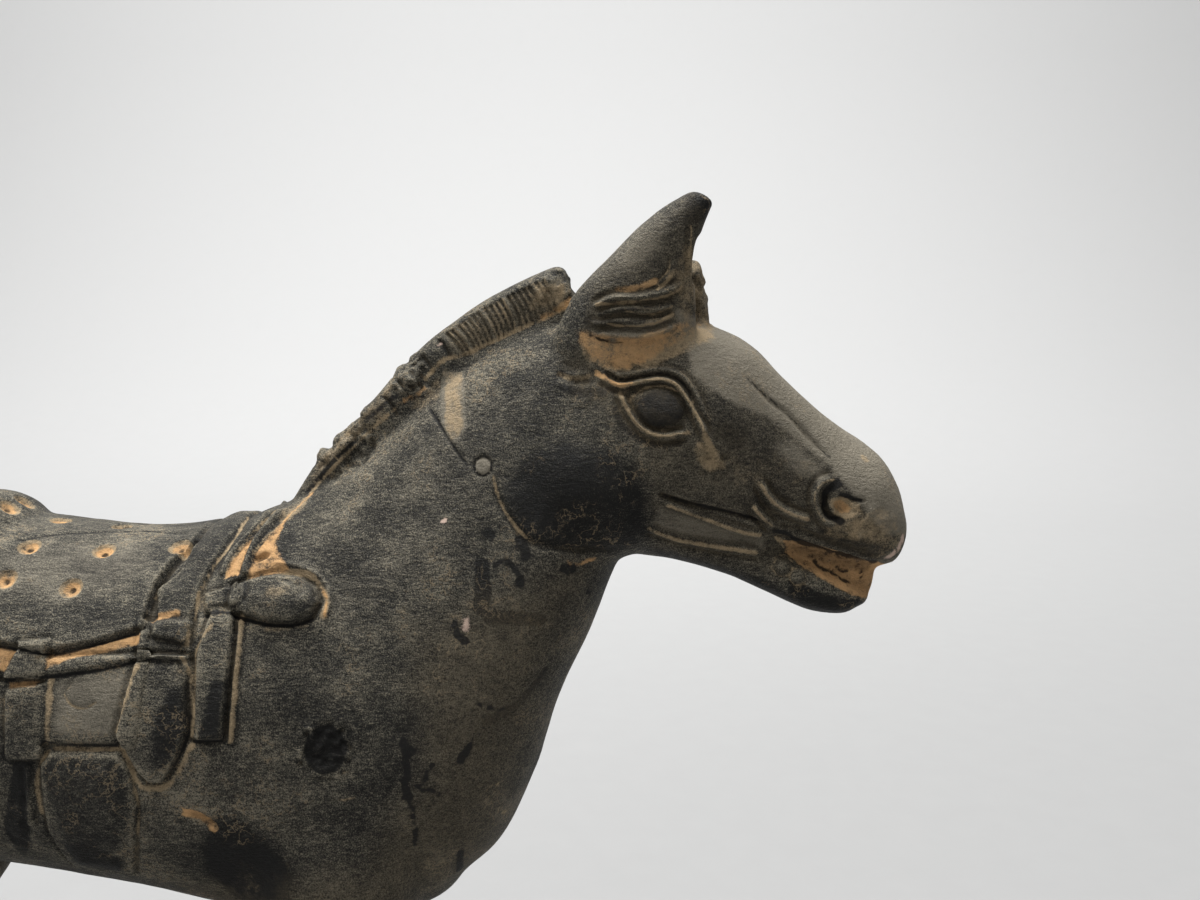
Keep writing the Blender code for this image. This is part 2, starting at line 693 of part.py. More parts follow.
def carve_saddle(clay):
    """The saddle's layers, studs, ribs and the tassel in front of it."""
    for layer in LOWER_LAYERS:
        clay.pad(*layer)
    for stud in STUDS:
        centre = on_body(clay.tree, *stud)
        clay.spot(centre, STUD_RADIUS, -STUD_DEPTH, 0.35)
        clay.spot(centre, STUD_RADIUS * 0.42, STUD_RISE, 0.3)
    clay.press()
    for layer in UPPER_LAYERS:
        clay.pad(*layer)
    for line, *form in SADDLE_LINES:
        clay.trace(clay.body_path(line), *form)
    clay.press()
    puff = (clay.near - np.array(on_body(clay.tree, *TASSEL_CENTRE))) / TASSEL_RADII
    swell = np.sqrt(np.clip(1 - (puff**2).sum(1), 0, 1))
    clay.height += np.where(clay.body, swell, 0) * TASSEL_RISE
    clay.trace(clay.body_path(TASSEL_RIM), 0.9, 0.6, 0.1)
    clay.press()


def carve_mane(clay):
    """Strokes down both sides of the upper mane, and the scoop in the front of each ear."""
    for step in range(MANE_STROKES):
        share = (step + 0.5) / MANE_STROKES
        foot = np.array(MANE_FOOT[0]) * (1 - share) + np.array(MANE_FOOT[1]) * share
        crest = np.array(MANE_CREST[0]) * (1 - share) + np.array(MANE_CREST[1]) * share
        clay.trace(clay.side_path([foot, (foot + crest) / 2, crest]), STROKE_WIDTH, -STROKE_DEPTH)
    scoop = [on_front(clay.tree, y, z) for y, z in EAR_SCOOP]
    clay.trace(np.array([p for p in scoop if p is not None]), 3.0, -2.2, 0.2)
    clay.trace(clay.side_path(EAR_FOLD), 1.2, -0.4, 0.2)
    clay.press()


def carve_head(clay):
    """The hollows and lines of the face, the eyes, the nostrils and the hair by the ears."""
    for place, *form in HEAD_HOLLOWS:
        clay.spot(on_side(clay.tree, *place), *form)
    clay.press()
    clay.dome(EYE, EYE_RADII, EYE_TILT, EYE_RISE)
    for line, *form in FACE_LINES:
        clay.trace(clay.side_path(line), *form)
    for place, *form in (NOSTRIL, LIP_LUMP):
        clay.spot(on_side(clay.tree, *place), *form)
    for lock in HAIR_LOCKS:
        clay.trace(clay.side_path(lock), LOCK_WIDTH, LOCK_HEIGHT, 0.15)
    clay.press()


def base():
    """The slab that the horse stands on, with rounded edges."""
    mesh = bmesh.new()
    bmesh.ops.create_cube(mesh, size=1)
    bmesh.ops.scale(mesh, vec=(BASE_LENGTH, BASE_WIDTH, BASE_THICKNESS), verts=mesh.verts)
    bmesh.ops.translate(mesh, vec=(0, 0, BASE_THICKNESS / 2), verts=mesh.verts)
    rounded = [e for e in mesh.edges if max(v.co.z for v in e.verts) > BASE_EDGE]
    bmesh.ops.bevel(
        mesh, geom=rounded, affect="EDGES", offset=BASE_EDGE, segments=2, profile=0.5, material=-1
    )
    return to_object("base", mesh)


def thinned(piece, triangles):
    """Fewer, larger triangles, smallest where the carving is."""
    group = piece.vertex_groups.new(name="plain")
    for vertex in piece.data.vertices:
        plainness = 1.0
        for centre, radius, least in FINE_ZONES:
            if (vertex.co - Vector(centre)).length < radius:
                plainness = min(plainness, least)
        group.add([vertex.index], plainness, "REPLACE")
    count = sum(len(face.vertices) - 2 for face in piece.data.polygons)
    thin = piece.modifiers.new("thin", "DECIMATE")
    thin.ratio = triangles / count
    thin.use_collapse_triangulate = True
    thin.vertex_group = group.name
    thin.vertex_group_factor = FINE_PULL
    apply_modifiers(piece)


def moulded(grain):
    """The whole horse, carved, in shares and read in cubes of side grain."""
    forms = [trunk(), cantle(), neck(), head(), jaw(), tongue(), *cheeks(), *ears(), mane()]
    forms += [forelock(), *forelegs(), *hind_legs(), tail()]
    horse = fused("horse", forms, grain)
    blend_joins(horse, forms, grain)
    for form in forms:
        bpy.data.objects.remove(form)
    clay = Carving(horse)
    carve_saddle(clay)
    carve_head(clay)
    carve_mane(clay)
    return horse


def stood_on_base(horse):
    """The horse at its real size with the slab joined on under its hooves."""
    for vertex in horse.data.vertices:
        x, y, z = vertex.co
        vertex.co = ((x - STANCE_CENTRE) * SHARE, y * SHARE, z * SHARE + BASE_THICKNESS)
    slab = base()
    join = slab.modifiers.new("join", "BOOLEAN")
    join.operation = "UNION"
    join.solver = "EXACT"
    join.object = horse
    apply_modifiers(slab)
    bpy.data.objects.remove(horse)
    return slab


def clay_finish():
    """The figure's dark matt finish."""
    finish = bpy.data.materials.new("black_slipped_clay")
    finish.use_nodes = True
    shader = finish.node_tree.nodes["Principled BSDF"]
    shader.inputs["Base Color"].default_value = CLAY_COLOUR
    shader.inputs["Roughness"].default_value = CLAY_ROUGHNESS
    shader.inputs["Metallic"].default_value = 0.0
    return finish


def main():
    """Clears the scene and makes the figure."""
    for old in list(bpy.data.objects):
        bpy.data.objects.remove(old)
    horse = moulded(CLAY_GRAIN / SHARE)
    thinned(horse, TRIANGLES)
    figure = stood_on_base(horse)
    figure.name = "clay_horse"
    figure.data.materials.clear()
    figure.data.materials.append(clay_finish())
    for face in figure.data.polygons:
        face.use_smooth = True


if __name__ == "__main__":
    main()
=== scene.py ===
"""Clay horse figure for the render: a saddled horse standing square on its low slab.

The horse is free sculpture. Its forms, carving and marks are laid out in shares, each
one 250th part of the figure's height, from the soles of the hooves (z = 0), with +X
towards the muzzle and +Y towards the horse's left. The carving is worked out on the
horse's right and is the same on its left.
"""

import logging
import math
from dataclasses import dataclass, replace
from enum import Enum
from typing import Callable, Sequence

import bmesh
import bpy
import numpy as np
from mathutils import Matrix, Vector
from mathutils.bvhtree import BVHTree
from mathutils.kdtree import KDTree


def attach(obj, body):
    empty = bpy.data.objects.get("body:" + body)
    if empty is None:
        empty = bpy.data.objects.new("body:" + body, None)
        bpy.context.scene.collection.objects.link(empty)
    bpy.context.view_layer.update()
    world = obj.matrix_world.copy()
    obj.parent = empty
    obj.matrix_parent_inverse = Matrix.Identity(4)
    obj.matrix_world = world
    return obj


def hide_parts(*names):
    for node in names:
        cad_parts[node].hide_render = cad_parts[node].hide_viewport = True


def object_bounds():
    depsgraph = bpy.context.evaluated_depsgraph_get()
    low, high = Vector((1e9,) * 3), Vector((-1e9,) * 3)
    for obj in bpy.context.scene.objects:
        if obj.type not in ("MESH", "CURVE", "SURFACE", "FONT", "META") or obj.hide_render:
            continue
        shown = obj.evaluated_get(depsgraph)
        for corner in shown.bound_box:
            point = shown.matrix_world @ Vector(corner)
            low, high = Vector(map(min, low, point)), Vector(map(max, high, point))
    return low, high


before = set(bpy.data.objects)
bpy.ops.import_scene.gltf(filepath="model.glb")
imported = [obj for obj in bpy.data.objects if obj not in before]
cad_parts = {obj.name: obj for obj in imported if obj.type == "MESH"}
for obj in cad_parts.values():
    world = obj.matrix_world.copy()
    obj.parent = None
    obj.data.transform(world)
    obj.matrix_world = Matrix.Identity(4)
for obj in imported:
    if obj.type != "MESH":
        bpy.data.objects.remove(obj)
cad_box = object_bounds()

log = logging.getLogger("clay_horse")

Pair = tuple[float, float]
Line = tuple[Pair, ...]

# In metres: the figure's height, one share of it and the thickness of the slab.
FIGURE_HEIGHT = 0.250
SHARE = FIGURE_HEIGHT / 250
BASE_THICKNESS = 0.009

# In shares: the middle of the stance, the height of the body's axis, what one degree round
# the body measures, how fine the fused clay is, and starts outside the horse's side and head.
STANCE_CENTRE = -11.0
BODY_AXIS = 135.0
GIRTH = 0.62
GRAIN = 0.5
OUTSIDE = 90.0
AHEAD = 220.0

# Counts: the finished triangles, then the spans between two corners of a drawn line, of a
# stroke of the mane and of a ring.
TRIANGLES = 194_000
PATH_STEPS = 6
FINE_STEPS = 20
RING_STEPS = 12

# Edges sharper than this many degrees stay sharp. The others keep sums within bounds.
SHARP_ANGLE = 60.0
TINY = 1e-9
TINY_SQUARE = 1e-12
FARTHEST = 1e9


class Mark(Enum):
    """What lies on the clay and the painted shade and highlight laid with it, as a named value on the horse's
    mesh.
    """

    DUST = "dust"
    # Tan earth, partly painted highlight along ridge crests.
    TAN = "tan"
    # Dark slip, and painted shade under the jaw, the lids and beside raised straps.
    SOOT_AND_SHADE = "soot"
    # Wear, and painted highlight on the top of the neck, rump, seat and nose.
    WORN_AND_HIGHLIGHT = "worn"
    BROWN = "brown"
    # Black pits and cracks, and painted shadow lines under edges and in grooves.
    PIT_AND_SHADOW = "pit"
    CHIP = "chip"
    HOLLOW = "hollow"


class Flank(Enum):
    """The side of the horse that a mark is on."""

    BOTH = 0
    RIGHT = -1
    LEFT = 1


# Forms


@dataclass(frozen=True)
class Section:
    """One cut through a form, in shares.

    upper and lower are its ends in the XZ plane, square is 2 for an ellipse, egg is how
    much wider it is above its middle than below, and aside is its place off the centre.
    """

    upper: Pair
    lower: Pair
    half_width: float
    square: float = 2.0
    egg: float = 0.0
    aside: float = 0.0

    def row(self) -> np.ndarray:
        """The section's values in one row."""
        return np.array(
            [*self.upper, *self.lower, self.half_width, self.square, self.egg, self.aside], float
        )


# Places of two values in a section's row.
HALF_WIDTH = 4
ASIDE = 7


def spline(rows: Sequence[Sequence[float]], steps: int) -> np.ndarray:
    """Reads rows along a Catmull-Rom curve.

    Args:
        rows: Two or more rows of values.
        steps: How many spans each gap is cut into.

    Returns:
        The rows along the curve, first and last included.
    """
    rows = np.asarray(rows, float)
    padded = np.vstack([2 * rows[0] - rows[1], rows, 2 * rows[-1] - rows[-2]])
    found = []
    for i in range(1, len(padded) - 2):
        before, here, there, beyond = padded[i - 1 : i + 3]
        for t in np.linspace(0, 1, steps, endpoint=False):
            bend = (2 * before - 5 * here + 4 * there - beyond) * t**2
            twist = (3 * here - 3 * there + beyond - before) * t**3
            found.append(0.5 * (2 * here + (there - before) * t + bend + twist))
    found.append(rows[-1])
    return np.array(found)


def to_object(name: str, mesh: bmesh.types.BMesh) -> bpy.types.Object:
    """Links a bmesh to the scene as a new object, and frees it."""
    data = bpy.data.meshes.new(name)
    mesh.to_mesh(data)
    mesh.free()
    made = bpy.data.objects.new(name, data)
    bpy.context.scene.collection.objects.link(made)
    return made


@dataclass(frozen=True)
class Form:
    """One body of clay and how far it is smoothed into its neighbours, in shares."""

    piece: bpy.types.Object
    blend: float


@dataclass(frozen=True)
class Loft:
    """A closed body through sections.

    round_start and round_end say how far each end bulges, as shares of that end's own
    half height. A paired loft is made on the right and on the left.
    """

    name: str
    sections: tuple[Section, ...]
    blend: float
    steps: int = 4
    round_start: float = 0.5
    round_end: float = 0.5
    paired: bool = False
    sides: int = 48
    cap_steps: tuple[float, ...] = (0.3, 0.55, 0.75, 0.9, 0.975)

    def build(self) -> list[Form]:
        """Makes the loft, or both lofts of a pair."""
        rows = spline([section.row() for section in self.sections], self.steps)
        if not self.paired:
            return [Form(self._skin(self.name, rows), self.blend)]
        made = []
        for side, sign in (("right", -1.0), ("left", 1.0)):
            turned = rows.copy()
            turned[:, ASIDE] *= sign
            made.append(Form(self._skin(f"{self.name}_{side}", turned), self.blend))
        return made

    def _ring(self, row: np.ndarray) -> list[Vector]:
        """The points round one section."""
        upper, lower = row[0:2], row[2:4]
        half_width, square, egg, aside = row[4:8]
        middle, half = (upper + lower) / 2, (upper - lower) / 2
        points = []
        for k in range(self.sides):
            turn = 2 * math.pi * k / self.sides
            c, s = math.cos(turn), math.sin(turn)
            high = math.copysign(abs(c) ** (2 / square), c)
            wide = math.copysign(abs(s) ** (2 / square), s)
            x, z = middle + half * high
            points.append(Vector((x, aside + half_width * wide * (1 + egg * high), z)))
        return points

    def _skin(self, name: str, rows: np.ndarray) -> bpy.types.Object:
        """Extrudes one ring from section to section and closes both ends."""
        rings = [self._ring(row) for row in rows]
        for first, bulge in ((True, self.round_start), (False, self.round_end)):
            row, near = (rows[0], rows[1]) if first else (rows[-1], rows[-2])
            middle = (row[0:2] + row[2:4]) / 2
            out = middle - (near[0:2] + near[2:4]) / 2
            out = out / max(float(np.linalg.norm(out)), TINY)
            reach = bulge * np.linalg.norm(row[0:2] - row[2:4]) / 2
            for quarter in self.cap_steps:
                angle = quarter * math.pi / 2
                shrink, push = math.cos(angle), math.sin(angle) * reach
                cap = row.copy()
                cap[0:2] = middle + (row[0:2] - middle) * shrink + out * push
                cap[2:4] = middle + (row[2:4] - middle) * shrink + out * push
                cap[HALF_WIDTH] = row[HALF_WIDTH] * shrink
                rings = [self._ring(cap), *rings] if first else [*rings, self._ring(cap)]
        mesh = bmesh.new()
        ring = bmesh.ops.create_circle(mesh, cap_ends=True, segments=self.sides, radius=1)
        edges = list(mesh.edges)
        for vertex, point in zip(ring["verts"], rings[0]):
            vertex.co = point
        for points in rings[1:]:
            grown = bmesh.ops.extrude_edge_only(mesh, edges=edges)["geom"]
            edges = [item for item in grown if isinstance(item, bmesh.types.BMEdge)]
            verts = [item for item in grown if isinstance(item, bmesh.types.BMVert)]
            for vertex, point in zip(verts, points):
                vertex.co = point
        bmesh.ops.edgeloop_fill(mesh, edges=edges)
        bmesh.ops.recalc_face_normals(mesh, faces=mesh.faces)
        return to_object(name, mesh)


@dataclass(frozen=True)
class Lump:
    """An egg of clay pressed on to the form."""

    name: str
    centre: tuple[float, float, float]
    radii: tuple[float, float, float]
    blend: float

    def build(self) -> list[Form]:
        """Makes the lump."""
        mesh = bmesh.new()
        bmesh.ops.create_uvsphere(mesh, u_segments=36, v_segments=24, radius=1)
        bmesh.ops.scale(mesh, vec=self.radii, verts=mesh.verts)
        bmesh.ops.translate(mesh, vec=self.centre, verts=mesh.verts)
        return [Form(to_object(self.name, mesh), self.blend)]


@dataclass(frozen=True)
class Trunk:
    """The barrel of the body and the cantle of the saddle behind the seat."""

    barrel: Loft = Loft(
        "trunk",
        (
            Section((-92, 164), (-90, 118), 20, 2.1),
            Section((-84, 174), (-84, 109), 27, 2.2),
            Section((-70, 179.5), (-70, 102), 31, 2.2),
            Section((-48, 178), (-48, 99.5), 32, 2.2),
            Section((-24, 175), (-24, 97.2), 33, 2.2, -0.03),
            Section((0, 173.2), (0, 93.6), 33.5, 2.2, -0.04),
            Section((18, 176.5), (20, 88.5), 32.5, 2.2, -0.06),
            Section((33, 181.5), (40, 86), 30, 2.2, -0.08),
            Section((50, 175), (56, 87), 27, 2.2, -0.08),
            Section((62, 158), (67, 92), 21, 2.2, -0.05),
            Section((70, 144), (73, 106), 14, 2.1),
        ),
        blend=14,
        round_start=0.35,
        round_end=0.25,
    )
    cantle: Lump = Lump("cantle", (-41, 0, 171), (12, 18, 10.4), 3)

    def forms(self) -> list[Form]:
        """Makes the barrel and the cantle."""
        return [*self.barrel.build(), *self.cantle.build()]


@dataclass(frozen=True)
class NeckAndHead:
    """The neck, skull, jaw, tongue and cheeks."""

    neck: Loft = Loft(
        "neck",
        (
            Section((4, 171), (57, 89), 26, 2.2, -0.1),
            Section((22, 177), (75.5, 100.5), 26.5, 2.2, -0.12),
            Section((36, 183.5), (84.6, 117.5), 24.5, 2.2, -0.16),
            Section((49, 193), (91, 137.5), 21, 2.2, -0.2),
            Section((62, 205.5), (98, 153), 18, 2.2, -0.22),
            Section((76, 216), (104, 168), 15.5, 2.2, -0.2),
            Section((92, 222.5), (111, 180), 13.5, 2.2, -0.1),
            Section((104, 222), (118, 190), 11),
        ),
        blend=14,
        round_end=0.4,
    )
    skull: Loft = Loft(
        "head",
        (
            Section((93, 216), (79, 190), 8),
            Section((104, 222), (79, 179), 13.5, 2.1),
            Section((115, 222), (87, 172.5), 16, 2.2, 0.02),
            Section((124, 220.4), (98, 171), 16.8, 2.3, 0.03),
            Section((132, 216.8), (110, 169.8), 16, 2.3),
            Section((139.4, 210), (120, 168.5), 13.8, 2.3, -0.06),
            Section((146.5, 203.4), (130, 167.6), 11.8, 2.4, -0.08),
            Section((152.6, 198.4), (139, 170.5), 10.6, 2.5, -0.05),
            Section((157.9, 195.1), (146.5, 170.2), 11.0, 2.5),
            Section((162.2, 191.4), (153.5, 168.8), 11.2, 2.5, 0.03),
            Section((165.4, 185.8), (160, 167.6), 9.8, 2.3),
            Section((167.0, 179.4), (163.6, 168.2), 7.6, 2.2),
        ),
        blend=2.5,
        round_start=0.4,
        round_end=0.3,
    )
    jaw: Loft = Loft(
        "jaw",
        (
            Section((118, 183), (116, 169.4), 12, 2.4),
            Section((130, 178), (128, 166), 11, 2.6),
            Section((138.5, 173.6), (136.5, 162.2), 10.4, 2.8),
            Section((146.5, 169.6), (145.5, 158.3), 10.0, 2.8),
            Section((153.5, 166), (153.2, 157.3), 9.2, 2.8),
            Section((157.6, 164.4), (156.9, 158.8), 7.8, 2.4),
        ),
        blend=2.0,
        round_end=0.9,
    )
    tongue: Loft = Loft(
        "tongue",
        (
            Section((128, 182), (128, 170), 5, 2.4),
            Section((140, 178), (140, 164), 6.2, 2.6),
            Section((151, 174), (151, 161), 6.0, 2.6),
            Section((159.8, 171), (159.4, 161.6), 5.0, 2.6),
        ),
        blend=0.8,
        round_end=0.25,
    )
    cheeks: tuple[Lump, ...] = (
        Lump("cheek_right", (98, -6, 187), (21, 11.6, 18), 5.0),
        Lump("cheek_left", (98, 6, 187), (21, 11.6, 18), 5.0),
    )

    def forms(self) -> list[Form]:
        """Makes the neck and the parts of the head."""
        made = []
        for form in (self.neck, self.skull, self.jaw, self.tongue, *self.cheeks):
            made += form.build()
        return made


@dataclass(frozen=True)
class Hair:
    """The mane along the crest, the forelock between the ears, and the tail."""

    mane: Loft = Loft(
        "mane",
        (
            Section((30.0, 180.5), (34.0, 174), 1.8, 3.0),
            Section((37.2, 190.7), (43.5, 182.5), 2.8, 3.0),
            Section((46.3, 200.6), (53.5, 192), 3.4, 3.0),
            Section((60.3, 215.3), (67.0, 204.5), 3.7, 3.0),
            Section((69.3, 222.3), (75.0, 211), 3.9, 3.0),
            Section((79.5, 228.6), (83.5, 216.5), 4.0, 3.0),
            Section((90.2, 233.4), (94.0, 220.5), 4.2, 3.0),
            Section((92.6, 232.2), (96.6, 221.5), 4.2, 3.0),
        ),
        blend=0.9,
        round_start=0.2,
        round_end=0.05,
    )
    forelock: Loft = Loft(
        "forelock",
        (
            Section((108, 233), (108, 214), 3.6, 3.0),
            Section((114, 234.4), (114, 216), 4.2, 3.0),
            Section((121.2, 234.6), (122.8, 217.5), 4.4, 3.0),
        ),
        blend=0.9,
        round_end=0.12,
    )
    tail: Loft = Loft(
        "tail",
        (
            Section((-80, 172), (-78, 160), 4.5),
            Section((-92, 169.5), (-87, 160), 5.2),
            Section((-100.5, 159), (-92, 152), 5.6),
            Section((-104.5, 142), (-93.5, 140), 6.0),
            Section((-105.5, 122), (-94, 122), 6.0),
            Section((-104.5, 102), (-94, 102), 5.6),
            Section((-102.5, 86), (-94.5, 86), 4.2),
        ),
        blend=3,
        round_end=1.2,
    )

    def forms(self) -> list[Form]:
        """Makes the mane, the forelock and the tail."""
        return [*self.mane.build(), *self.forelock.build(), *self.tail.build()]


@dataclass(frozen=True)
class Ears:
    """The pricked ears."""

    ear: Loft = Loft(
        "ear",
        (
            Section((90, 218), (120.4, 211), 5.5, 2.0, 0.0, 8.0),
            Section((94.4, 226.8), (120.6, 221), 5.8, 2.0, 0.0, 8.6),
            Section((100.2, 233.2), (120.4, 227.6), 5.4, 2.0, 0.0, 9.2),
            Section((106.2, 239.0), (120.2, 233.6), 4.7, 2.0, 0.0, 9.8),
            Section((111.8, 243.9), (121.2, 238.8), 4.0, 2.0, 0.0, 10.4),
            Section((116.2, 246.8), (122.7, 243.0), 3.2, 2.0, 0.0, 10.8),
            Section((118.7, 248.1), (123.7, 245.4), 2.5, 2.0, 0.0, 11.0),
        ),
        blend=1.6,
        round_end=0.35,
        paired=True,
    )

    def forms(self) -> list[Form]:
        """Makes both ears."""
        return self.ear.build()


@dataclass(frozen=True)
class Legs:
    """The four legs, down into the slab."""

    fore: Loft = Loft(
        "foreleg",
        (
            Section((20, 124), (64, 124), 11.5, 2.1, 0.0, 15.5),
            Section((17, 107), (62, 107), 12.5, 2.1, 0.0, 16.5),
            Section((20, 93), (60, 93), 11.6, 2.1, 0.0, 17.5),
            Section((27, 80), (57, 80), 9.8, 2.1, 0.0, 18.3),
            Section((33, 68), (54.6, 68), 8.5, 2.1, 0.0, 18.8),
            Section((35.0, 57), (54.4, 57), 8.4, 2.2, 0.0, 19),
            Section((36.4, 49), (52.8, 49), 7.6, 2.2, 0.0, 19),
            Section((38.2, 40), (50.8, 40), 6.5, 2.1, 0.0, 19),
            Section((38.4, 29), (50.2, 29), 6.2, 2.1, 0.0, 19),
            Section((37.4, 20), (51.8, 20), 7.3, 2.1, 0.0, 19),
            Section((39.4, 13.5), (54.6, 13.5), 6.9, 2.1, 0.0, 19),
            Section((39.0, 9.4), (57.6, 9.4), 8.0, 2.2, 0.0, 19),
            Section((37.8, 0), (61.5, 0), 9.6, 2.3, 0.0, 19),
            Section((37.6, -2.5), (62, -2.5), 9.7, 2.3, 0.0, 19),
        ),
        blend=12,
        steps=3,
        round_start=0.3,
        round_end=0.0,
        paired=True,
    )
    hind: Loft = Loft(
        "hind_leg",
        (
            Section((-92, 146), (-52, 142), 14, 2.1, 0.0, 13),
            Section((-96, 127), (-45, 127), 16, 2.1, 0.0, 14.5),
            Section((-95.5, 110), (-43.5, 110), 14.8, 2.1, 0.0, 16.5),
            Section((-91.5, 95), (-47.5, 95), 12.4, 2.1, 0.0, 17.8),
            Section((-88.5, 81), (-53.5, 81), 10.2, 2.1, 0.0, 18.5),
            Section((-89.4, 68), (-63.5, 68), 8.5, 2.1, 0.0, 18.8),
            Section((-91.5, 57.5), (-71.0, 56.5), 7.8, 2.1, 0.0, 19),
            Section((-89.8, 49), (-74.0, 49), 7.2, 2.1, 0.0, 19),
            Section((-86.8, 39), (-74.2, 39), 6.4, 2.1, 0.0, 19),
            Section((-84.4, 28), (-72.2, 28), 6.2, 2.1, 0.0, 19),
            Section((-84, 19.5), (-69.4, 19.5), 7.3, 2.1, 0.0, 19),
            Section((-81, 13), (-66.2, 13), 6.9, 2.1, 0.0, 19),
            Section((-81.4, 9), (-62.6, 9), 8.0, 2.2, 0.0, 19),
            Section((-82.4, 0), (-58.8, 0), 9.6, 2.3, 0.0, 19),
            Section((-82.6, -2.5), (-58.4, -2.5), 9.7, 2.3, 0.0, 19),
        ),
        blend=14,
        steps=3,
        round_start=0.3,
        round_end=0.0,
        paired=True,
    )

    def forms(self) -> list[Form]:
        """Makes the four legs."""
        return [*self.fore.build(), *self.hind.build()]


# Clay in hand


def apply_modifiers(piece: bpy.types.Object) -> None:
    """Replaces the object's mesh with what its modifiers make of it."""
    graph = bpy.context.evaluated_depsgraph_get()
    finished = bpy.data.meshes.new_from_object(piece.evaluated_get(graph))
    piece.modifiers.clear()
    old = piece.data
    piece.data = finished
    bpy.data.meshes.remove(old)


def surface_of(piece: bpy.types.Object) -> BVHTree:
    """A search tree over one object's faces."""
    mesh = bmesh.new()
    mesh.from_mesh(piece.data)
    tree = BVHTree.FromBMesh(mesh)
    mesh.free()
    return tree


def vectors_of(piece: bpy.types.Object, name: str) -> np.ndarray:
    """Reads the points of a piece, or their normals, one row for each."""
    values = np.empty(len(piece.data.vertices) * 3)
    piece.data.vertices.foreach_get(name, values)
    return values.reshape(-1, 3)


def smooth_out(piece: bpy.types.Object, turns: int, group: str = "") -> None:
    """Adds turns of even smoothing to a piece, by the weights of a group if one is named."""
    smooth = piece.modifiers.new("smooth", "SMOOTH")
    smooth.factor = 0.5
    smooth.iterations = turns
    smooth.vertex_group = group


def bell(distance: np.ndarray, width: float) -> np.ndarray:
    """A rounded hump: 1 at the middle and 0 beyond width."""
    return np.where(distance < width, 0.5 + 0.5 * np.cos(np.pi * distance / width), 0.0)


def ramp(value: np.ndarray, low: float, high: float) -> np.ndarray:
    """A smooth rise from 0 at low to 1 at high."""
    t = np.clip((value - low) / (high - low), 0, 1)
    return t * t * (3 - 2 * t)


def along_path(points: np.ndarray, path: np.ndarray) -> tuple[np.ndarray, np.ndarray]:
    """Measures points against a line.

    Args:
        points: The points to measure.
        path: The line's own points, in the same space.

    Returns:
        Each point's distance from the line, and its place along it as a share.
    """
    best = np.full(len(points), FARTHEST)
    along = np.zeros(len(points))
    for i, (start, end) in enumerate(zip(path[:-1], path[1:])):
        run = end - start
        t = np.clip((points - start) @ run / max(run @ run, TINY_SQUARE), 0, 1)
        distance = np.linalg.norm(points - start - t[:, None] * run, axis=1)
        nearer = distance < best
        best[nearer] = distance[nearer]
        along[nearer] = (i + t[nearer]) / (len(path) - 1)
    return best, along


def depth_inside(points: np.ndarray, outline: np.ndarray) -> np.ndarray:
    """How far each point lies inside a closed outline, negative outside it."""
    loop = np.vstack([outline, outline[:1]])
    distance, _ = along_path(points, loop)
    inside = np.zeros(len(points), bool)
    for (x0, y0), (x1, y1) in zip(loop[:-1], loop[1:]):
        if y0 == y1:
            continue
        crosses = (points[:, 1] > y0) != (points[:, 1] > y1)
        inside ^= crosses & (points[:, 0] < x0 + (points[:, 1] - y0) * (x1 - x0) / (y1 - y0))
    return np.where(inside, distance, -distance)


class Roughness3D:
    """Smooth chance values filling space, the same on every run."""

    SIDE = 32

    def __init__(self, seed: int) -> None:
        """Fills a block of values.

        Args:
            seed: Picks one block out of many.
        """
        self.block = np.random.default_rng(seed).random((self.SIDE,) * 3)

    def read(self, points: np.ndarray, size: float) -> np.ndarray:
        """Reads the values at points, where size is the length of one swell.

        Args:
            points: Where to read, in shares.
            size: The length of one swell, in shares.

        Returns:
            Values from -1 to 1.
        """
        places = points / size
        cell = np.floor(places).astype(int)
        t = places - cell
        t = t * t * (3 - 2 * t)
        total = np.zeros(len(points))
        for corner in np.ndindex(2, 2, 2):
            index = (cell + corner) % self.SIDE
            weight = np.prod(np.where(corner, t, 1 - t), axis=1)
            total += weight * self.block[index[:, 0], index[:, 1], index[:, 2]]
        return total * 2 - 1


# Strokes, washes and cuts, as they are written down


@dataclass(frozen=True)
class Stroke:
    """A line of colour, width being half its full width and taper how its ends die away."""

    mark: Mark
    line: Line
    width: float
    strength: float = 1.0
    taper: float = 0.0
    flank: Flank = Flank.BOTH


@dataclass(frozen=True)
class Wash:
    """An outline filled with colour, fading over soft shares across its edge."""

    mark: Mark
    outline: Line
    soft: float
    strength: float = 1.0
    flank: Flank = Flank.BOTH


Marks = tuple[Stroke | Wash, ...]


def strokes(mark: Mark, *rows: tuple) -> tuple[Stroke, ...]:
    """Strokes of one colour, each row holding a stroke's other values."""
    return tuple(Stroke(mark, *row) for row in rows)


def washes(mark: Mark, *rows: tuple) -> tuple[Wash, ...]:
    """Washes of one colour, each row holding a wash's other values."""
    return tuple(Wash(mark, *row) for row in rows)


def only(flank: Flank, *marks: Stroke | Wash) -> Marks:
    """The same marks, kept to one side of the horse."""
    return tuple(replace(mark, flank=flank) for mark in marks)


@dataclass(frozen=True)
class Cut:
    """A ridge along a line, or a groove where its height is negative.

    width is half its full width, taper the share of the line over which each end dies
    away, and gutter how deep a fine groove runs along both of its sides.
    """

    line: Line
    width: float
    height: float
    taper: float = 0.0
    gutter: float = 0.0


@dataclass(frozen=True)
class Dent:
    """A round hollow at (x, z), or a hump, level over a share of its radius."""

    place: Pair
    radius: float
    height: float
    level: float = 0.3


@dataclass(frozen=True)
class Rough:
    """Rough clay round (x, y, z), with swells of one size, highest in the middle."""

    centre: tuple[float, float, float]
    radius: float
    size: float
    height: float


# The surface at work


